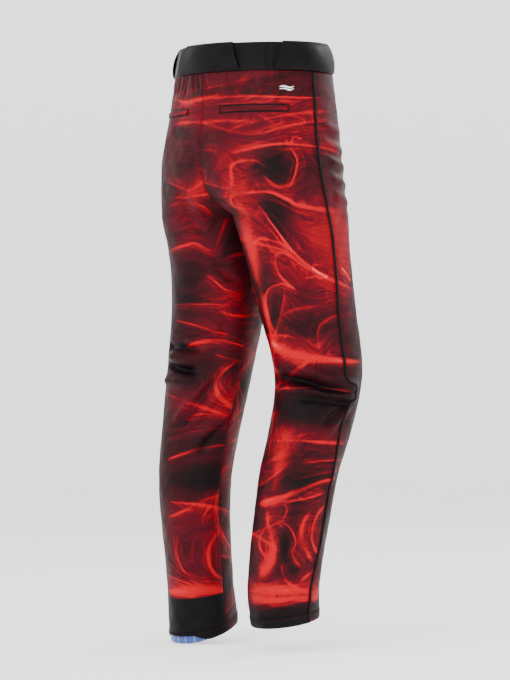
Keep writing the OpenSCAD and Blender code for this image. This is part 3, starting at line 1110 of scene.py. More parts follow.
        # painted shadow: dark lines at the pocket slits, across the pocket's angles
        inside = ease((angle - 14) / 2) * ease((64 - angle) / 2)
        for slit in self.slit_shadow_depths:
            shade += 2.4 * inside * np.exp(-(((depth - slit) / 1.1) ** 2))
        ground = ease((depth - hem + 46) / 20)
        arc = np.radians(angle) * self.skin.reach(side, depth)
        flow = np.stack([phase / weight, 0.1 * arc, 0.06 * depth], -1) * MM
        return {"veil": veil * (1 - 0.5 * ground), "glow": glow, "soot": shade, "flow": flow}


# ------------------------------------------------------------------ meshes


def steps(curve_points: Array) -> Array:
    """Distances run along the last-but-one axis of rows of points, from 0."""
    gaps = np.linalg.norm(np.diff(curve_points, axis=-2), axis=-1)
    return np.concatenate([np.zeros((*gaps.shape[:-1], 1)), np.cumsum(gaps, -1)], -1)


def tiles(grid: Array) -> Array:
    """The four corners of every square of a grid of point numbers."""
    return np.stack([grid[:-1, :-1], grid[:-1, 1:], grid[1:, 1:], grid[1:, :-1]], -1).reshape(-1, 4)


@dataclass
class Sheet:
    """A piece of cloth with two faces, as grids of points in metres.

    Attributes:
        name: The piece's name.
        outer: Points on its outer face, by row and column.
        inner: Points on its inner face.
        paint: Values at each point by attribute.
    """

    name: str
    outer: Array
    inner: Array
    paint: dict[str, Array] = field(default_factory=dict)

    def measure(self) -> tuple[float, float, float]:
        """Its width, length and area as flat cloth, in metres."""
        middle = (self.outer + self.inner) / 2
        width = steps(middle)[:, -1]
        length = steps(middle.transpose(1, 0, 2))[:, -1]
        down, over = np.diff(middle, axis=0)[:, :-1], np.diff(middle, axis=1)[:-1]
        area = np.linalg.norm(np.cross(down, over), axis=-1).sum()
        return float(width.max()), float(length.max()), float(area)

    def cloth(self) -> Array:
        """Metres across, along and from the nearest cut edge, at each point."""
        across, along = steps(self.outer), steps(self.outer.transpose(1, 0, 2)).T
        edge = np.minimum(np.minimum(along, along[-1:] - along), np.minimum(across, across[:, -1:] - across))
        return np.stack([across, along, edge], -1)

    def build(self, material: bpy.types.Material) -> bpy.types.Object:
        """Makes the mesh.

        Args:
            material: Its finish.

        Returns:
            The object.
        """
        n, m, _ = self.outer.shape
        step = 2 if n % 2 and m % 2 and n * m > 40000 else 1
        inner = self.inner[::step, ::step]
        p, q, _ = inner.shape
        front, rear = np.arange(n * m).reshape(n, m), np.arange(p * q).reshape(p, q) + n * m
        faces = [[int(v) for v in quad] for quad in tiles(front)] + [
            [int(v) for v in quad[::-1]] for quad in tiles(rear)
        ]
        rims = ((front[0], rear[0], 1), (front[-1], rear[-1], -1), (front[:, 0], rear[:, 0], -1))
        for near, far, way in (*rims, (front[:, -1], rear[:, -1], 1)):
            for k in range(len(far) - 1):
                run = [int(v) for v in near[k * step : (k + 1) * step + 1]]
                faces.append((run[::-1] + [int(far[k]), int(far[k + 1])])[::way])
        points = np.concatenate([self.outer.reshape(-1, 3), inner.reshape(-1, 3)])
        corner = self.outer[:-1, :-1]
        out = np.cross(self.outer[:-1, 1:] - corner, self.outer[1:, :-1] - corner)
        if (out * (corner - self.inner[:-1, :-1])).sum() > 0:
            faces = [face[::-1] for face in faces]
        obj = make_object(self.name, points, faces, material)
        for key, value in {"cloth": self.cloth(), **self.paint}.items():
            grid = np.asarray(value).reshape(n, m, -1)
            both = np.concatenate(
                [grid.reshape(n * m, -1), grid[::step, ::step].reshape(p * q, -1)]
            ).astype(np.float32)
            kind, field_name = ("FLOAT_VECTOR", "vector") if both.shape[1] == 3 else ("FLOAT", "value")
            obj.data.attributes.new(key, kind, "POINT").data.foreach_set(field_name, both.ravel())
        return obj

    def dress(
        self, material: bpy.types.Material, slot: str, nodes: Sequence[
            str
        ], held: Hold, rests_on: Sequence[str]
    ) -> bpy.types.Object:
        """Args:
            material: Its finish.
            slot: The material slot that the finish stands for; not used.
            nodes: The CAD nodes that it replaces.
            held: How it is held; not used.
            rests_on: What it is sewn to; not used.

        Returns:
            The object.
        """
        obj = self.build(material)
        width, length, area = self.measure()
        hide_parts(*nodes)
        return obj


def make_object(
    name: str, points: Array, faces: Array | list[list[int]], material: bpy.types.Material
) -> bpy.types.Object:
    """Makes a smooth mesh object.

    Args:
        name: Its name.
        points: Its points in metres.
        faces: Rows of point numbers.
        material: Its finish.

    Returns:
        The object.
    """
    mesh = bpy.data.meshes.new(name)
    mesh.from_pydata(points.tolist(), [], faces if isinstance(faces, list) else faces.tolist())
    mesh.polygons.foreach_set("use_smooth", np.ones(len(mesh.polygons), bool))
    mesh.materials.append(material)
    mesh.update()
    obj = bpy.data.objects.new(name, mesh)
    bpy.context.scene.collection.objects.link(obj)
    return obj


def sweep(path: Array, normals: Array, width: float, height: float, sides: int = 8) -> tuple[Array, Array]:
    """Sweeps an oval along a path.

    Args:
        path: Points along it, in metres.
        normals: The outward direction at each point.
        width: Half-width along the surface.
        height: Half-height off it.
        sides: Corners of the oval.

    Returns:
        Points and faces of a closed tube.
    """
    run = np.gradient(path, axis=0)
    run /= np.linalg.norm(run, axis=1, keepdims=True)
    cross = np.cross(run, normals)
    cross /= np.linalg.norm(cross, axis=1, keepdims=True)
    turn = np.linspace(0, TURN, sides, endpoint=False)
    spread = np.cos(turn)[None, :, None] * cross[:, None] * width
    spread = spread + np.sin(turn)[None, :, None] * normals[:, None] * height
    ends = np.ones(len(path))
    ends[[0, -1]] = 0.35
    points = (path[:, None] + spread * ends[:, None, None]).reshape(-1, 3)
    i, j = np.meshgrid(np.arange(len(path) - 1), np.arange(sides), indexing="ij")
    k = (j + 1) % sides
    faces = np.stack(
        [i * sides + j, i * sides + k, (i + 1) * sides + k, (i + 1) * sides + j], -1
    ).reshape(-1, 4)
    caps = []
    for row, flip in ((0, -1), (len(path) - 1, 1)):
        ring = row * sides + np.arange(sides)
        half = sides // 2
        for q in range(half - 1):
            caps.append([ring[q], ring[q + 1], ring[sides - 2 - q], ring[sides - 1 - q]][::flip])
    return points, np.concatenate([faces, np.array(caps)])


def stitches(
    name: str, rows: Sequence[tuple[Array, Array]], material: bpy.types.Material
) -> bpy.types.Object:
    """Rows of sewn thread: one short proud dash to each stitch.

    Args:
        name: The piece's name.
        rows: Points and outward directions along each row, in metres.
        material: Its finish.

    Returns:
        The object.
    """
    points, faces, count = [], [], 0
    for path, normals in rows:
        run = steps(path)
        for start in np.arange(0.001, run[-1] - 0.003, 0.0031):
            at = start + np.array([0.0, 0.0007, 0.0015, 0.0022])
            place = np.stack([np.interp(at, run, path[:, q]) for q in range(3)], -1)
            out = np.stack([np.interp(at, run, normals[:, q]) for q in range(3)], -1)
            place = place + out * np.array([0.0, 0.00035, 0.00035, 0.0])[:, None]
            p, f = sweep(place, out, 0.00033, 0.00028, 6)
            points.append(p)
            faces.append(f + count)
            count += len(p)
    obj = make_object(name, np.concatenate(points), np.concatenate(faces), material)
    return obj


# ------------------------------------------------------------------ folds


def crease(
    side: Side, width: float, height: float, *points: tuple[float, float], lean: float = 0.0
) -> Stroke:
    """A fold of the cloth: a ridge, or a valley if its height is negative.

    Args:
        side: The half it is on.
        width: Half-width in millimetres.
        height: Height in millimetres.
        points: Depths in millimetres and angles in degrees.
        lean: How far its lower side overhangs.

    Returns:
        The stroke.
    """
    return Stroke(side, points, width, height, lean)


FOLDS = [
    # drag lines below the belt tunnels
    crease(R, 6, -3.0, (98, 40), (84, 46), (66, 55)),
    crease(R, 5, -3.0, (98, 70), (84, 78), (70, 87)),
    crease(R, 6, -2.4, (84, 20), (72, 32), (66, 43)),
    crease(L, 6, -3.0, (98, 40), (84, 46), (66, 55)),
    crease(L, 5, -3.0, (98, 70), (84, 78), (70, 87)),
    # seat
    crease(L, 10, -4, (252, 8), (284, -12), (320, -28), (360, -37)),
    crease(L, 9, -3, (360, -38), (396, -50), (420, -72)),
    crease(L, 12, 3, (252, -4), (288, -28), (328, -46)),
    crease(R, 9, -3, (262, -30), (290, -14), (312, 4), (324, 26)),
    # scallops at the right hip
    crease(R, 8, 2.5, (146, 90), (150, 108), (156, 126)),
    crease(R, 8, 2.5, (180, 92), (184, 110), (190, 130)),
    crease(R, 8, 3, (206, 94), (212, 112), (220, 134)),
    crease(R, 8, 3, (236, 96), (242, 114), (250, 136)),
    crease(R, 9, 3.5, (266, 98), (272, 116), (282, 138)),
    crease(R, 6, -2, (164, 92), (168, 110), (174, 128)),
    crease(R, 6, -2, (194, 94), (198, 112), (206, 132)),
    crease(R, 6, -2, (222, 96), (228, 114), (236, 134)),
    # right knee
    crease(R, 11, 9, (560, -24), (564, 16), (580, 42), (594, 68), (602, 96), (600, 118), lean=0.35),
    crease(R, 8, -13, (582, -46), (588, -4), (594, 28), (606, 58), (612, 96)),
    crease(R, 8, 8, (606, -28), (604, 10), (610, 54), (620, 92), (622, 118)),
    crease(R, 7, -7, (622, 6), (624, 44), (630, 78), (630, 112)),
    crease(R, 9, 5.5, (622, 110), (648, 88), (676, 74), (704, 66)),
    crease(R, 7, -5, (630, 96), (650, 76), (676, 62)),
    crease(R, 5, -3, (664, -12), (696, 4), (730, 6)),
    crease(R, 7, 3, (664, 6), (696, 18), (730, 20)),
    crease(R, 10, 2.5, (700, 84), (740, 96), (780, 100)),
    crease(R, 9, -2.5, (716, 40), (752, 30), (790, 34)),
    # left knee
    crease(L, 7, -14, (564, 44), (568, 20), (573, -6), (576, -36)),
    crease(L, 9, 8, (548, 30), (552, -8), (550, -50)),
    crease(L, 8, 6, (528, -2), (516, -34), (504, -60)),
    crease(L, 9, 8, (590, 44), (596, -4), (590, -36)),
    crease(L, 7, -9, (532, 40), (532, 24), (534, -4), (538, -34)),
    crease(L, 8, 5, (672, 0), (630, -24), (584, -48)),
    crease(L, 8, 5, (690, -22), (640, -50), (576, -82)),
    crease(L, 7, -5, (676, -12), (632, -36), (576, -64)),
    crease(L, 9, 3.5, (722, -30), (684, -54), (648, -78)),
    crease(L, 8, -5, (730, -46), (690, -66), (650, -94)),
    # fronts
    crease(R, 9, -3, (560, 150), (580, 180), (570, 215)),
    crease(R, 10, 4, (545, 140), (560, 180), (548, 220)),
    crease(L, 9, -3, (570, 130), (585, 170), (572, 210)),
    crease(L, 10, 4, (552, 125), (566, 170), (552, 215)),
    crease(L, 9, -3, (262, 172), (292, 200), (330, 232)),
    crease(R, 9, -3, (262, 172), (292, 200), (330, 232)),
    crease(L, 8, 2.5, (282, 150), (320, 180), (370, 208)),
    crease(R, 8, 2.5, (282, 150), (320, 180), (370, 208)),
    # above the hems
    crease(R, 10, 2.5, (930, -20), (944, 20), (936, 60)),
    crease(R, 8, -2, (972, 10), (980, 50), (972, 90)),
    crease(L, 10, 2.5, (930, -80), (948, -40), (940, 0)),
    crease(L, 8, -2, (996, -80), (1004, -40), (998, 10)),
]


def ruching() -> list[Stroke]:
    """Small upright creases below the back belt tunnel and above the front closure."""
    rng = np.random.default_rng(3)
    creases = []
    for middle, half, count in ((-11, 29, 11), (180, 24, 8)):
        for number in range(count):
            angle = middle - half + 2 * half * number / (count - 1) + rng.uniform(-1.2, 1.2)
            low = rng.uniform(78, 98)
            points = (
                (48, angle), (64, angle + rng.uniform(-1, 1)), (low, angle + 3 * math.copysign(1, angle - middle))
            )
            creases.append(Stroke(R, points, rng.uniform(3.0, 4.4), -rng.uniform(2.0, 3.4), 0.0))
    return creases


# ------------------------------------------------------------------ sub-assemblies


@dataclass
class Maker:
    """What every sub-assembly is built with."""

    skin: Skin
    smoke: SmokePrint
    wardrobe: Wardrobe
    rows: list[tuple[Array, Array]] = field(default_factory=list)

    def patch(
        self,
        name: str,
        side: Side,
        depth: Sequence[float] | Array,
        angle: Sequence[float] | Array,
        outer: Array | float,
        inner: Array | float,
        painted: bool = False,
    ) -> Sheet:
        """A piece of cloth that follows the skin.

        Args:
            name: Its name.
            side: Which half its angles are counted on.
            depth: A depth for each row.
            angle: An angle for each column, or for each row and column.
            outer: Distance of its outer face outside the skin, in millimetres.
            inner: Distance of its inner face.
            painted: Whether it carries the print.

        Returns:
            The sheet.
        """
        depth, angle = np.asarray(depth, float), np.asarray(angle, float)
        depth, angle = np.broadcast_arrays(depth[:, None] if depth.ndim == 1 else depth, angle)
        front, back = self.skin.layers(side, depth, angle, outer, inner)
        return Sheet(name, front, back, paint=self.smoke.paint(side, depth, angle) if painted else {})

    def sew(self, side: Side, depth: Array | float, angle: Array | float, off: float) -> None:
        """Adds a row of stitches on the skin.

        Args:
            side: Which half the angles are counted on.
            depth: Depths along the row.
            angle: Angles along the row.
            off: Distance outside the skin, in millimetres.
        """
        depth, angle = np.broadcast_arrays(np.asarray(depth, float), np.asarray(angle, float))
        self.rows.append((self.skin.at(side, depth, angle, off), self.skin.normal(side, depth, angle)))


@dataclass
class ClothPanels:
    """The four printed panels."""

    top: float = 50.3
    above_hem: float = 18.3
    cloth: float = 1.6
    pitch: float = 2.05
    columns: int = 139
    slot: float = 7.0
    lap: float = 0.7
    seam_gap: float = 0.15

    def shape(self, skin: Skin, side: Side, back: bool) -> tuple[Array, Array]:
        """Depths and angles of a panel's grid.

        Args:
            skin: The shape of the cloth.
            side: Which half.
            back: Whether it is the back panel.

        Returns:
            Depths by row, and angles by row and column.
        """
        low = skin.hems[side] - self.above_hem
        depth = np.linspace(self.top, low, 2 * int((low - self.top) / self.pitch / 2) + 1)
        seam = skin.seam_at(side, depth)
        if back:
            first, last = skin.start(side, depth, -self.lap), seam - self.seam_gap
        else:
            fly = (self.slot + self.lap) * ease((194 - depth) / 4) - self.lap
            first, last = seam + self.seam_gap, 180 - skin.start(side, depth, fly)
        share = np.concatenate(
            [[0, 0.005, 0.012], np.linspace(0.025, 0.975, self.columns), [0.988, 0.995, 1]]
        )
        return depth, first[:, None] + (last - first)[:, None] * share

    def build(self, maker: Maker) -> None:
        """Builds the panels, each rolled in a little at its seams.

        Args:
            maker: What to build with.
        """
        skin = maker.skin
        for side in Side:
            for word in ("back", "front"):
                depth, angle = self.shape(skin, side, word == "back")
                width = np.radians(angle[:, -1:] - angle[:, :1]) * skin.reach(side, depth)[:, None]
                share = (angle - angle[:, :1]) / (angle[:, -1:] - angle[:, :1])
                gap = np.minimum(share, 1 - share) * width
                roll = -0.35 * np.exp(-((gap / 1.6) ** 2))
                name = f"{side.word}_{word}_panel"
                sheet = maker.patch(f"{name}_cloth", side, depth, angle, roll, roll - self.cloth, True)
                joined = [f"{side.word}_side_piping", f"{side.word}_hem_band", "waistband_shell"]
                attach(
                    sheet.dress(maker.wardrobe.print, "printed_cloth", [name], Hold.GATHERED, joined), BODY
                )
            run = np.linspace(56, 268, 120)
            maker.sew(side, run, skin.start(side, run, 2.6), 0.1)


@dataclass
class SidePiping:
    """A padded cord down each outer seam."""

    half_width: float = 2.9
    height: float = 1.5
    sides: int = 10

    def build(self, maker: Maker) -> None:
        """Builds both cords.

        Args:
            maker: What to build with.
        """
        for side in Side:
            depth = np.linspace(51.3, maker.skin.hems[side], 520)
            seam = maker.skin.seam_at(side, depth)
            path = maker.skin.at(side, depth, seam, 0.5)
            normal = maker.skin.normal(side, depth, seam)
            points, faces = sweep(path, normal, self.half_width * MM, self.height * MM, self.sides)
            cord = make_object(f"{side.word}_side_cord", points, faces, maker.wardrobe.piping)
            run = np.repeat(steps(path), self.sides)
            around = np.tile(np.linspace(0, 0.012, self.sides), len(path))
            values = np.stack([around, run, np.full(len(run), 0.02)], -1).astype(np.float32)
            cord.data.attributes.new(
                "cloth", "FLOAT_VECTOR", "POINT"
            ).data.foreach_set("vector", values.ravel())
            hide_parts(f"{side.word}_side_piping")
            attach(cord, BODY)
            for away in (-1, 1):
                turn = np.degrees(5.2 / maker.skin.reach(side, depth)) * away
                maker.sew(side, depth[4:-4], (seam + turn)[4:-4], 0.1)


@dataclass
class Hems:
    """Turned-up hems, and the grip tapes sewn inside the heels."""

    tall: float = 18.0
    rise: float = 13.0
    heel: float = 52.0

    def build(self, maker: Maker) -> None:
        """Builds the hems and tapes.

        Args:
            maker: What to build with.
        """
        skin, wardrobe = maker.skin, maker.wardrobe
        for side in Side:
            hem = skin.hems[side]
            seam = float(skin.seam_at(side, np.array([hem]))[0])
            band = f"{side.word}_hem_band"
            for word, first, last in (("back", -90.0, seam), ("front", seam, 270.0)):
                angle = np.linspace(first + 0.2, last - 0.2, 130)
                lift = self.rise * ease((self.heel + 8 - np.abs(angle)) / 36) * (side == Side.LEFT)
                share = np.concatenate([[0, 0.03], np.linspace(0.08, 0.94, 9), [0.975, 1.0]])[:, None]
                depth = hem - self.tall + share * (self.tall - lift[None])
                puff = 0.5 * np.sin(math.pi * np.clip(share, 0, 1)) ** 0.5 - 0.5 * (share > 0.99) + 0 * depth
                sheet = maker.patch(
                    f"{side.word}_{word}_hem", side, depth, angle, puff, puff - 1.9, word == "front"
                )
                finish = wardrobe.black if word == "back" else wardrobe.print
                panel = f"{side.word}_{word}_panel"
                obj = sheet.dress(finish, "black_cloth", [band], Hold.FOLDED, [panel])
                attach(obj, BODY)
                for row in (3.0, 5.4):
                    maker.sew(side, hem - self.tall + row + 0 * angle, angle, 0.6)
            low = hem if side == Side.LEFT else hem - 3
            angle = np.linspace(-self.heel, self.heel, 70)
            tape = maker.patch(f"{side.word}_tape", side, np.linspace(low - 20, low, 9), angle, -2.8, -3.9)
            heel = f"{side.word}_heel_tape"
            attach(tape.dress(wardrobe.tape, "grip_tape", [heel], Hold.STRETCHED, [band]), BODY)


@dataclass
class Waistband:
    """The waistband's three layers, the care label, the tunnels and loops, and the snapped tab."""

    tall: float = 50.0
    ends: tuple[float, float] = (-171.6, 171.4)
    tunnels: tuple[tuple[str, float, float], ...] = (
        ("back_belt_tunnel", 0.0, 26.0),
        ("left_belt_tunnel", 87.0, 30.0),
        ("right_belt_tunnel", -87.0, 30.0),
        ("left_front_loop", 150.0, 7.0),
        ("right_front_loop", -150.0, 7.0),
    )

    def build(self, maker: Maker) -> None:
        """Builds the waistband.

        Args:
            maker: What to build with.
        """
        wardrobe = maker.wardrobe
        side = Side.LEFT
        angle = np.linspace(*self.ends, 420)
        share = np.concatenate([[0, 0.012, 0.03], np.linspace(0.06, 0.94, 26), [0.97, 0.988, 1]])[:, None]
        ripple = 0.35 * np.sin(
            np.radians(angle) * 46 + 2 * np.sin(np.radians(angle) * 7)
        ) * np.sin(math.pi * share)
        rim = -0.8 * np.exp(-((np.minimum(share, 1 - share) / 0.014) ** 2))
        shell = maker.patch(
            "waistband_cloth", side, share[:, 0] * self.tall, angle, 1.2 + ripple + rim, ripple * 0.5
        )
        obj = shell.dress(
            wardrobe.black, "black_cloth", ["waistband_shell"], Hold.STRETCHED, ["waistband_elastic"]
        )
        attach(obj, BODY)
        around = np.linspace(*self.ends, 260)
        for name, top, low, off, thick, finish, slot in (
            ("waistband_elastic", 3, 47, -0.3, 1.3, wardrobe.elastic, "elastic"),
            ("waistband_lining", 1, 49, -1.9, 1.2, wardrobe.lining, "lining_cloth"),
        ):
            layer = maker.patch(f"{name}_layer", side, np.linspace(top, low, 16), around, off, off - thick)
            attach(layer.dress(finish, slot, [name], Hold.STRETCHED, ["waistband_shell"]), BODY)
        label = maker.patch(
            "care_label_tag", side, np.linspace(12, 46, 12), np.linspace(-7, 7, 14), -3.4, -3.8
        )
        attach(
            label.dress(wardrobe.satin, "label", ["care_label"], Hold.STRETCHED, ["waistband_lining"]), BODY
        )
        for row in (3.0, 46.5):
            maker.sew(side, row, np.linspace(-170, 170, 400), 1.4)
        for name, middle, half in self.tunnels:
            self.tunnel(maker, name, middle, half)
        self.closure(maker)

    def tunnel(self, maker: Maker, name: str, middle: float, half: float) -> None:
        """Builds a belt tunnel, sewn along its top and bottom and open at its ends.

        Args:
            maker: What to build with.
            name: Its CAD node.
            middle: Angle of its middle.
            half: Half of its angle.
        """
        share = np.concatenate([[0, 0.02], np.linspace(0.05, 0.95, 26), [0.98, 1]])[:, None]
        across = np.linspace(-1, 1, max(12, int(half * 3)))
        reach = half + min(6.5, half / 4) * (share - 0.5)
        sag = 0.8 * np.sin(across * 5 + middle) * np.sin(math.pi * share)
        stand = 1.5 + 5.6 * np.sin(math.pi * share) ** 0.7 + sag * (np.abs(across) < 1)
        depth = -1.2 + 51.2 * share + 0 * across
        sheet = maker.patch(f"{name}_cloth", Side.LEFT, depth, middle + reach * across, stand + 1.5, stand)
        obj = sheet.dress(maker.wardrobe.black, "black_cloth", [name], Hold.STRETCHED, ["waistband_shell"])
        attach(obj, BODY)
        for row, off in ((2.6, 5.2), (47.0, 5.2)):
            line = middle + (half - 1.5 - min(3.2, half / 8) * (row < 25)) * np.linspace(-1, 1, 60)
            maker.sew(Side.LEFT, row, line, off)

    def closure(self, maker: Maker) -> None:
        """Builds the underlap and the tab that snaps over it.

        Args:
            maker: What to build with.
        """
        wardrobe = maker.wardrobe
        depth = np.linspace(0.5, 49.5, 26)
        under = maker.patch("underlap_cloth", Side.LEFT, depth, np.linspace(171.9, 188.1, 24), 1.2, 0)
        shell = ["waistband_shell"]
        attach(under.dress(wardrobe.black, "black_cloth", ["waist_underlap"], Hold.FOLDED, shell), BODY)
        share = np.linspace(0, 1, 34)
        tip = 193 - 3.2 * (np.abs(depth - 25) / 24.5)[:, None] ** 4
        tab = maker.patch("tab_cloth", Side.LEFT, depth, 171.6 + (tip - 171.6) * share, 4.7, 3.3)
        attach(tab.dress(wardrobe.black, "black_cloth", ["waist_tab"], Hold.FOLDED, shell), "tab")


@dataclass
class BackPockets:
    """Welted back pockets: a rolled lip over a bag, with a bar tack at each end."""

    first: float = 15.0
    last: float = 63.0
    top: float = 111.0
    tall: float = 12.0

    def build(self, maker: Maker) -> None:
        """Builds both pockets.

        Args:
            maker: What to build with.
        """
        wardrobe = maker.wardrobe
        share = np.linspace(0, 1, 15)[:, None]
        for side in Side:
            angle = np.linspace(self.first, self.last, 120)
            pinch = np.sin(
                math.pi * np.clip((angle - self.first) / (self.last - self.first), 0.02, 0.98)
            ) ** 0.3
            middle = self.top + self.tall / 2
            depth = middle + (share - 0.5) * self.tall * (0.5 + 0.4 * pinch)
            roll = 0.6 + 1.5 * np.sin(math.pi * share) ** 0.6 * pinch
            lip = maker.patch(f"{side.word}_pocket_lip", side, depth, angle, roll, 0.6 * roll - 0.3, True)
            welt = [f"{side.word}_pocket_welt"]
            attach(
                lip.dress(wardrobe.print, "printed_cloth", welt, Hold.FOLDED, [f"{side.word}_back_panel"]), BODY
            )
            rows, columns = np.linspace(100, 235, 50), np.linspace(self.first - 2, self.last + 2, 60)
            bag = maker.patch(f"{side.word}_pocket_lining", side, rows, columns, -2.5, -3.5)
            node = [f"{side.word}_pocket_bag"]
            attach(bag.dress(wardrobe.lining, "lining_cloth", node, Hold.STRETCHED, welt), BODY)
        self.tacks(maker)

    def tacks(self, maker: Maker) -> None:
        """Builds the bar tacks: close rows of thread across each end of a pocket.

        Args:
            maker: What to build with.
        """
        points, faces, count = [], [], 0
        for side in Side:
            for angle in (self.first - 1.1, self.last + 1.1):
                for depth in np.arange(self.top - 1, self.top + self.tall + 1, 0.55):
                    line = angle + np.array([-0.6, -0.3, 0.3, 0.6])
                    off = np.array([0.4, 1.0, 1.0, 0.4])
                    path = maker.skin.at(side, depth, line, off)
                    p, f = sweep(path, maker.skin.normal(side, depth + 0 * line, line), 0.0003, 0.0003, 6)
                    points.append(p)
                    faces.append(f + count)
                    count += len(p)
        tacks = make_object(
            "pocket_tacks", np.concatenate(points), np.concatenate(faces), maker.wardrobe.red_thread
        )
        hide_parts("pocket_bar_tacks")
        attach(tacks, BODY)


@dataclass
class Fly:
    """The placket over a coil zip, with the shield behind it."""

    root: float = 20.7
    edge: float = -13.0
    top: float = 52.0
    low: float = 206.0

    def face(self, x: Array) -> Array:
        """The placket's inner face, as Y in millimetres."""
        return -(121.5 + 4 * np.cos(np.radians(90 * np.minimum(1, np.abs(x) / 14))) ** 2)

    def build(self, maker: Maker) -> None:
        """Builds the fly.

        Args:
            maker: What to build with.
        """
        wardrobe = maker.wardrobe
        depth = np.linspace(self.top, self.low, 84)
        drop = np.clip((depth - self.low + 36) / 36, 0, 1)
        free = self.edge + (self.root - 1.5 - self.edge) * (1 - np.sqrt(1 - np.minimum(drop, 0.999) ** 2))
        share = np.concatenate([[0, 0.01], np.linspace(0.03, 0.97, 34), [0.985, 1]])
        x = self.root + (free - self.root)[:, None] * share
        y = self.face(x)
        z = -depth[:, None] + 0 * x
        inner, outer = np.stack([x, y, z], -1) * MM, np.stack([x, y - 1.4, z], -1) * MM
        angle = 180 - np.degrees(np.arcsin(x / 168))
        paint = maker.smoke.paint(Side.LEFT, depth[:, None] + 0 * x, angle)
        placket = Sheet("placket_cloth", outer, inner, paint=paint)
        obj = placket.dress(
            wardrobe.print, "printed_cloth", ["fly_placket"], Hold.FOLDED, ["left_front_panel"]
        )
        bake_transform(obj)
        self.sew(maker, depth, free)
        self.zip(maker)

    def sew(self, maker: Maker, depth: Array, free: Array) -> None:
        """Sews the placket's curved line.

        Args:
            maker: What to build with.
            depth: Depths along the free edge.
            free: The free edge's X at each.
        """
        rows = []
        for inset in (4.0, 6.2):
            x = np.minimum(free + inset, self.root - 1)
            path = np.stack([x, self.face(x) - 1.45, -depth + 0.4 * inset * (depth > 200)], -1) * MM
            rows.append((path[2:-3], np.tile([0.0, -1.0, 0.0], (len(x) - 5, 1))))
        thread = stitches("placket_stitching", rows, maker.wardrobe.red_thread)
        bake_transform(thread)

    def flat(
        self, name: str, wide: tuple[float, float], tall: tuple[float, float], y: float, thick: float
    ) -> Sheet:
        """A flat piece across the front.

        Args:
            name: Its name.
            wide: Its ends in X.
            tall: Its ends in Z.
            y: Its front face.
            thick: Its thickness.

        Returns:
            The sheet.
        """
        x, z = np.meshgrid(np.linspace(*wide, 20), np.linspace(*tall, 80))
        wave = 0.15 * np.sin(z * 0.21) * np.sin(x * 0.3)
        outer = np.stack([x, y + wave, z], -1) * MM
        return Sheet(name, outer, outer + np.array([0, thick * MM, 0]))

    def zip(self, maker: Maker) -> None:
        """Builds the shield, the tapes and the coils.

        Args:
            maker: What to build with.
        """
        wardrobe = maker.wardrobe
        shield = self.flat("shield_cloth", (-20, 18), (-52, -198), -115.2, 1.2)
        fronts = ["left_front_panel"]
        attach(shield.dress(wardrobe.lining, "lining_cloth", ["fly_shield"], Hold.STRETCHED, fronts), BODY)
        for side in Side:
            ends = (side * 0.9, side * 16)
            tape = self.flat(f"{side.word}_zip_webbing", ends, (-53, -192), -118.5, 0.5)
            node = [f"{side.word}_zip_tape"]
            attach(tape.dress(wardrobe.webbing, "zip_tape", node, Hold.STRETCHED, fronts), BODY)
            turns = 84
            turn = np.linspace(0, TURN * turns, turns * 14)
            z = -56.3 - (186 - 57) * turn / turn[-1] - 0.77 * (side == Side.RIGHT)
            ring = np.stack([np.cos(turn) * 0.95, np.sin(turn) * 0.42, 0 * turn], -1)
            path = (np.array([side * 1.35, -119.4, 0]) + ring) * MM
            path[:, 2] = z * MM
            normal = ring / np.linalg.norm(ring, axis=1, keepdims=True)
            points, faces = sweep(path, normal, 0.00029, 0.00029, 6)
            coil = make_object(f"{side.word}_zip_teeth", points, faces, wardrobe.coil)
            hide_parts(f"{side.word}_zip_coil")
            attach(coil, BODY)


@dataclass
class HipMark:
    """A small printed wave on the right hip."""

    depth: float = 81.0
    first: float = 57.5
    last: float = 68.5

    def build(self, maker: Maker) -> None:
        """Builds the mark as two tapering ribbons.

        Args:
            maker: What to build with.
        """
        angle = np.linspace(self.first, self.last, 60)
        share = np.linspace(0, 1, 60)
        parts = []
        for shift, size in ((-1.6, 1.0), (2.6, 0.75)):
            half = 1.3 * size * np.sin(math.pi * np.clip(share, 0.02, 0.98)) ** 0.7 + 0.15
            line = self.depth + shift - 2.0 * np.sin(share * 2.2 * math.pi) * (0.4 + share * 0.6)
            depth = line + half * np.linspace(-1, 1, 4)[:, None]
            name = f"hip_wave_{len(parts)}"
            ribbon = maker.patch(name, Side.RIGHT, depth, angle, 0.6, 0.3)
            obj = ribbon.build(maker.wardrobe.mark)
            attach(obj, BODY)
            parts.append(obj)
        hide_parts("hip_mark")


@dataclass
class Hardware:
    """The metal parts, which keep their CAD shape and take a finish."""

    zip_parts: tuple[str, ...] = ("zip_top_stops", "zip_bottom_stop", "zip_slider", "zip_pull")
    snap_parts: tuple[str, ...] = ("snap_studs", "snap_sockets")
    thread_parts: tuple[str, ...] = ("fly_bar_tack",)

    def build(self, maker: Maker) -> None:
        """Gives each metal part its finish.

        Args:
            maker: What to build with.
        """
        wardrobe = maker.wardrobe
        for names, finish in (
            (self.zip_parts, wardrobe.zip_metal),
            (self.snap_parts, wardrobe.snap_metal),
            (self.thread_parts, wardrobe.thread),
        ):
            for name in names:
                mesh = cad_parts[name].data
                mesh.materials.clear()
                mesh.materials.append(finish)


# ------------------------------------------------------------------ studio


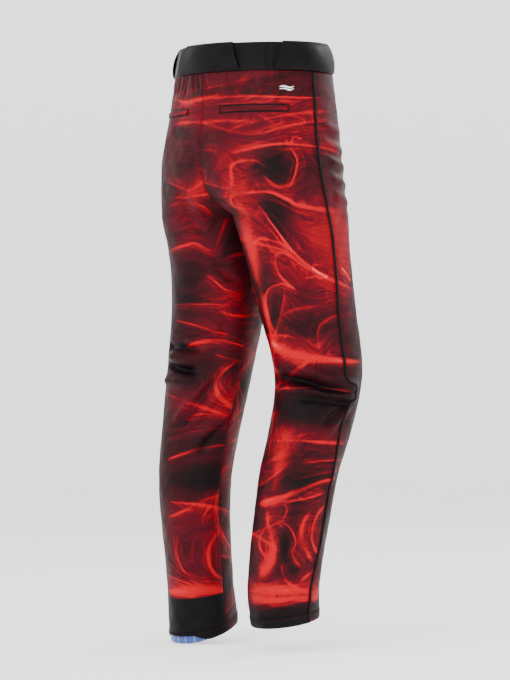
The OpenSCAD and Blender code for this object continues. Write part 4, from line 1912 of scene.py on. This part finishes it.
@dataclass
class Studio:
    """A pale bowl of paper, soft lights and the camera."""

    azimuth: float = 226.0
    distance: float = 5.5
    height: float = -0.52
    lens: float = 163.06
    aside: float = 0.0029

    def heading(self) -> tuple[Array, Array]:
        """Unit vectors from the camera to the object, and to the picture's right."""
        turn = math.radians(self.azimuth)
        toward = np.array([-math.sin(turn), math.cos(turn), 0.0])
        return toward, np.array([math.cos(turn), math.sin(turn), 0.0])

    def build(self) -> None:
        """Builds the set."""
        toward, right = self.heading()
        self.paper()
        self.lamp("key", -toward * 3.2 - right * 2.2, 2.6, 2.0, 125.0)
        self.lamp("fill", -toward * 3.4 + right * 2.6, 1.2, 2.6, 60.0)
        self.lamp("rim", toward * 2.0 + right * 2.2, 2.2, 1.6, 50.0)
        self.lamp("top", -toward * 0.4, 3.0, 2.4, 60.0)
        world = bpy.context.scene.world or bpy.data.worlds.new("world")
        bpy.context.scene.world = world
        world.use_nodes = True
        world.node_tree.nodes["Background"].inputs["Color"].default_value = (0.9, 0.93, 1.0, 1.0)
        world.node_tree.nodes["Background"].inputs["Strength"].default_value = 0.3
        self.camera(toward, right)

    def paper(self) -> None:
        """Builds the floor and backdrop as one round bowl of paper."""
        floor = min(corner[2] for corner in CAD_BOX) - 0.0005
        bend = np.linspace(0, math.pi / 2, 16)
        profile = [
            (0.0001, 0.0), *((8.0 + 2.5 * math.sin(a), 2.5 - 2.5 * math.cos(a)) for a in bend), (10.5, 9.0)
        ]
        turn = np.linspace(0, TURN, 72, endpoint=False)
        points = [(r * math.cos(a), r * math.sin(a), floor + z) for r, z in profile for a in turn]
        rings = np.arange(len(points)).reshape(len(profile), 72)
        closed = np.concatenate([rings, rings[:, :1]], 1)
        paper = Moulded("studio_paper", (0.92, 0.92, 0.92), 0.8).build()
        shader = paper.node_tree.nodes["Principled BSDF"]
        shader.inputs["Emission Color"].default_value = (1.0, 1.0, 1.0, 1.0)
        shader.inputs["Emission Strength"].default_value = 0.8
        make_object("studio_bowl", np.array(points), tiles(closed), paper)

    def lamp(self, name: str, place: Array, up: float, size: float, power: float) -> None:
        """Adds a square soft light aimed at the object.

        Args:
            name: Its name.
            place: Where it stands.
            up: Its height above the object's middle.
            size: Its side in metres.
            power: Its power in watts.
        """
        light = bpy.data.lights.new(name, "AREA")
        light.shape = "SQUARE"
        light.size = size
        light.energy = power
        obj = bpy.data.objects.new(name, light)
        obj.location = (place[0], place[1], up + self.height)
        aim = Vector((0.0, 0.0, self.height)) - obj.location
        obj.rotation_euler = aim.to_track_quat("-Z", "Y").to_euler()
        bpy.context.scene.collection.objects.link(obj)

    def camera(self, toward: Array, right: Array) -> None:
        """Adds the camera.

        Args:
            toward: The direction from the camera to the object.
            right: The picture's right.
        """
        data = bpy.data.cameras.new("camera")
        data.sensor_fit = "VERTICAL"
        data.sensor_height = 36.0
        data.lens = self.lens
        obj = bpy.data.objects.new("camera", data)
        place = right * self.aside - toward * self.distance
        obj.location = (place[0], place[1], self.height)
        obj.rotation_euler = Vector(tuple(toward)).to_track_quat("-Z", "Y").to_euler()
        bpy.context.scene.collection.objects.link(obj)
        bpy.context.scene.camera = obj


def main() -> None:
    """Builds the trousers and the set."""
    logging.basicConfig(level=logging.INFO, format="%(name)s: %(message)s")
    skin = Skin(folds=FOLDS + ruching())
    maker = Maker(skin, SmokePrint(skin), Wardrobe())
    for part in (
        ClothPanels(), SidePiping(), Hems(), Waistband(), BackPockets(), Fly(), HipMark(), Hardware()
    ):
        LOG.info("building %s", type(part).__name__)
        part.build(maker)
    sewing = stitches("seam_stitching", maker.rows, maker.wardrobe.red_thread)
    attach(sewing, BODY)
    Studio().build()


if __name__ == "__main__":
    main()
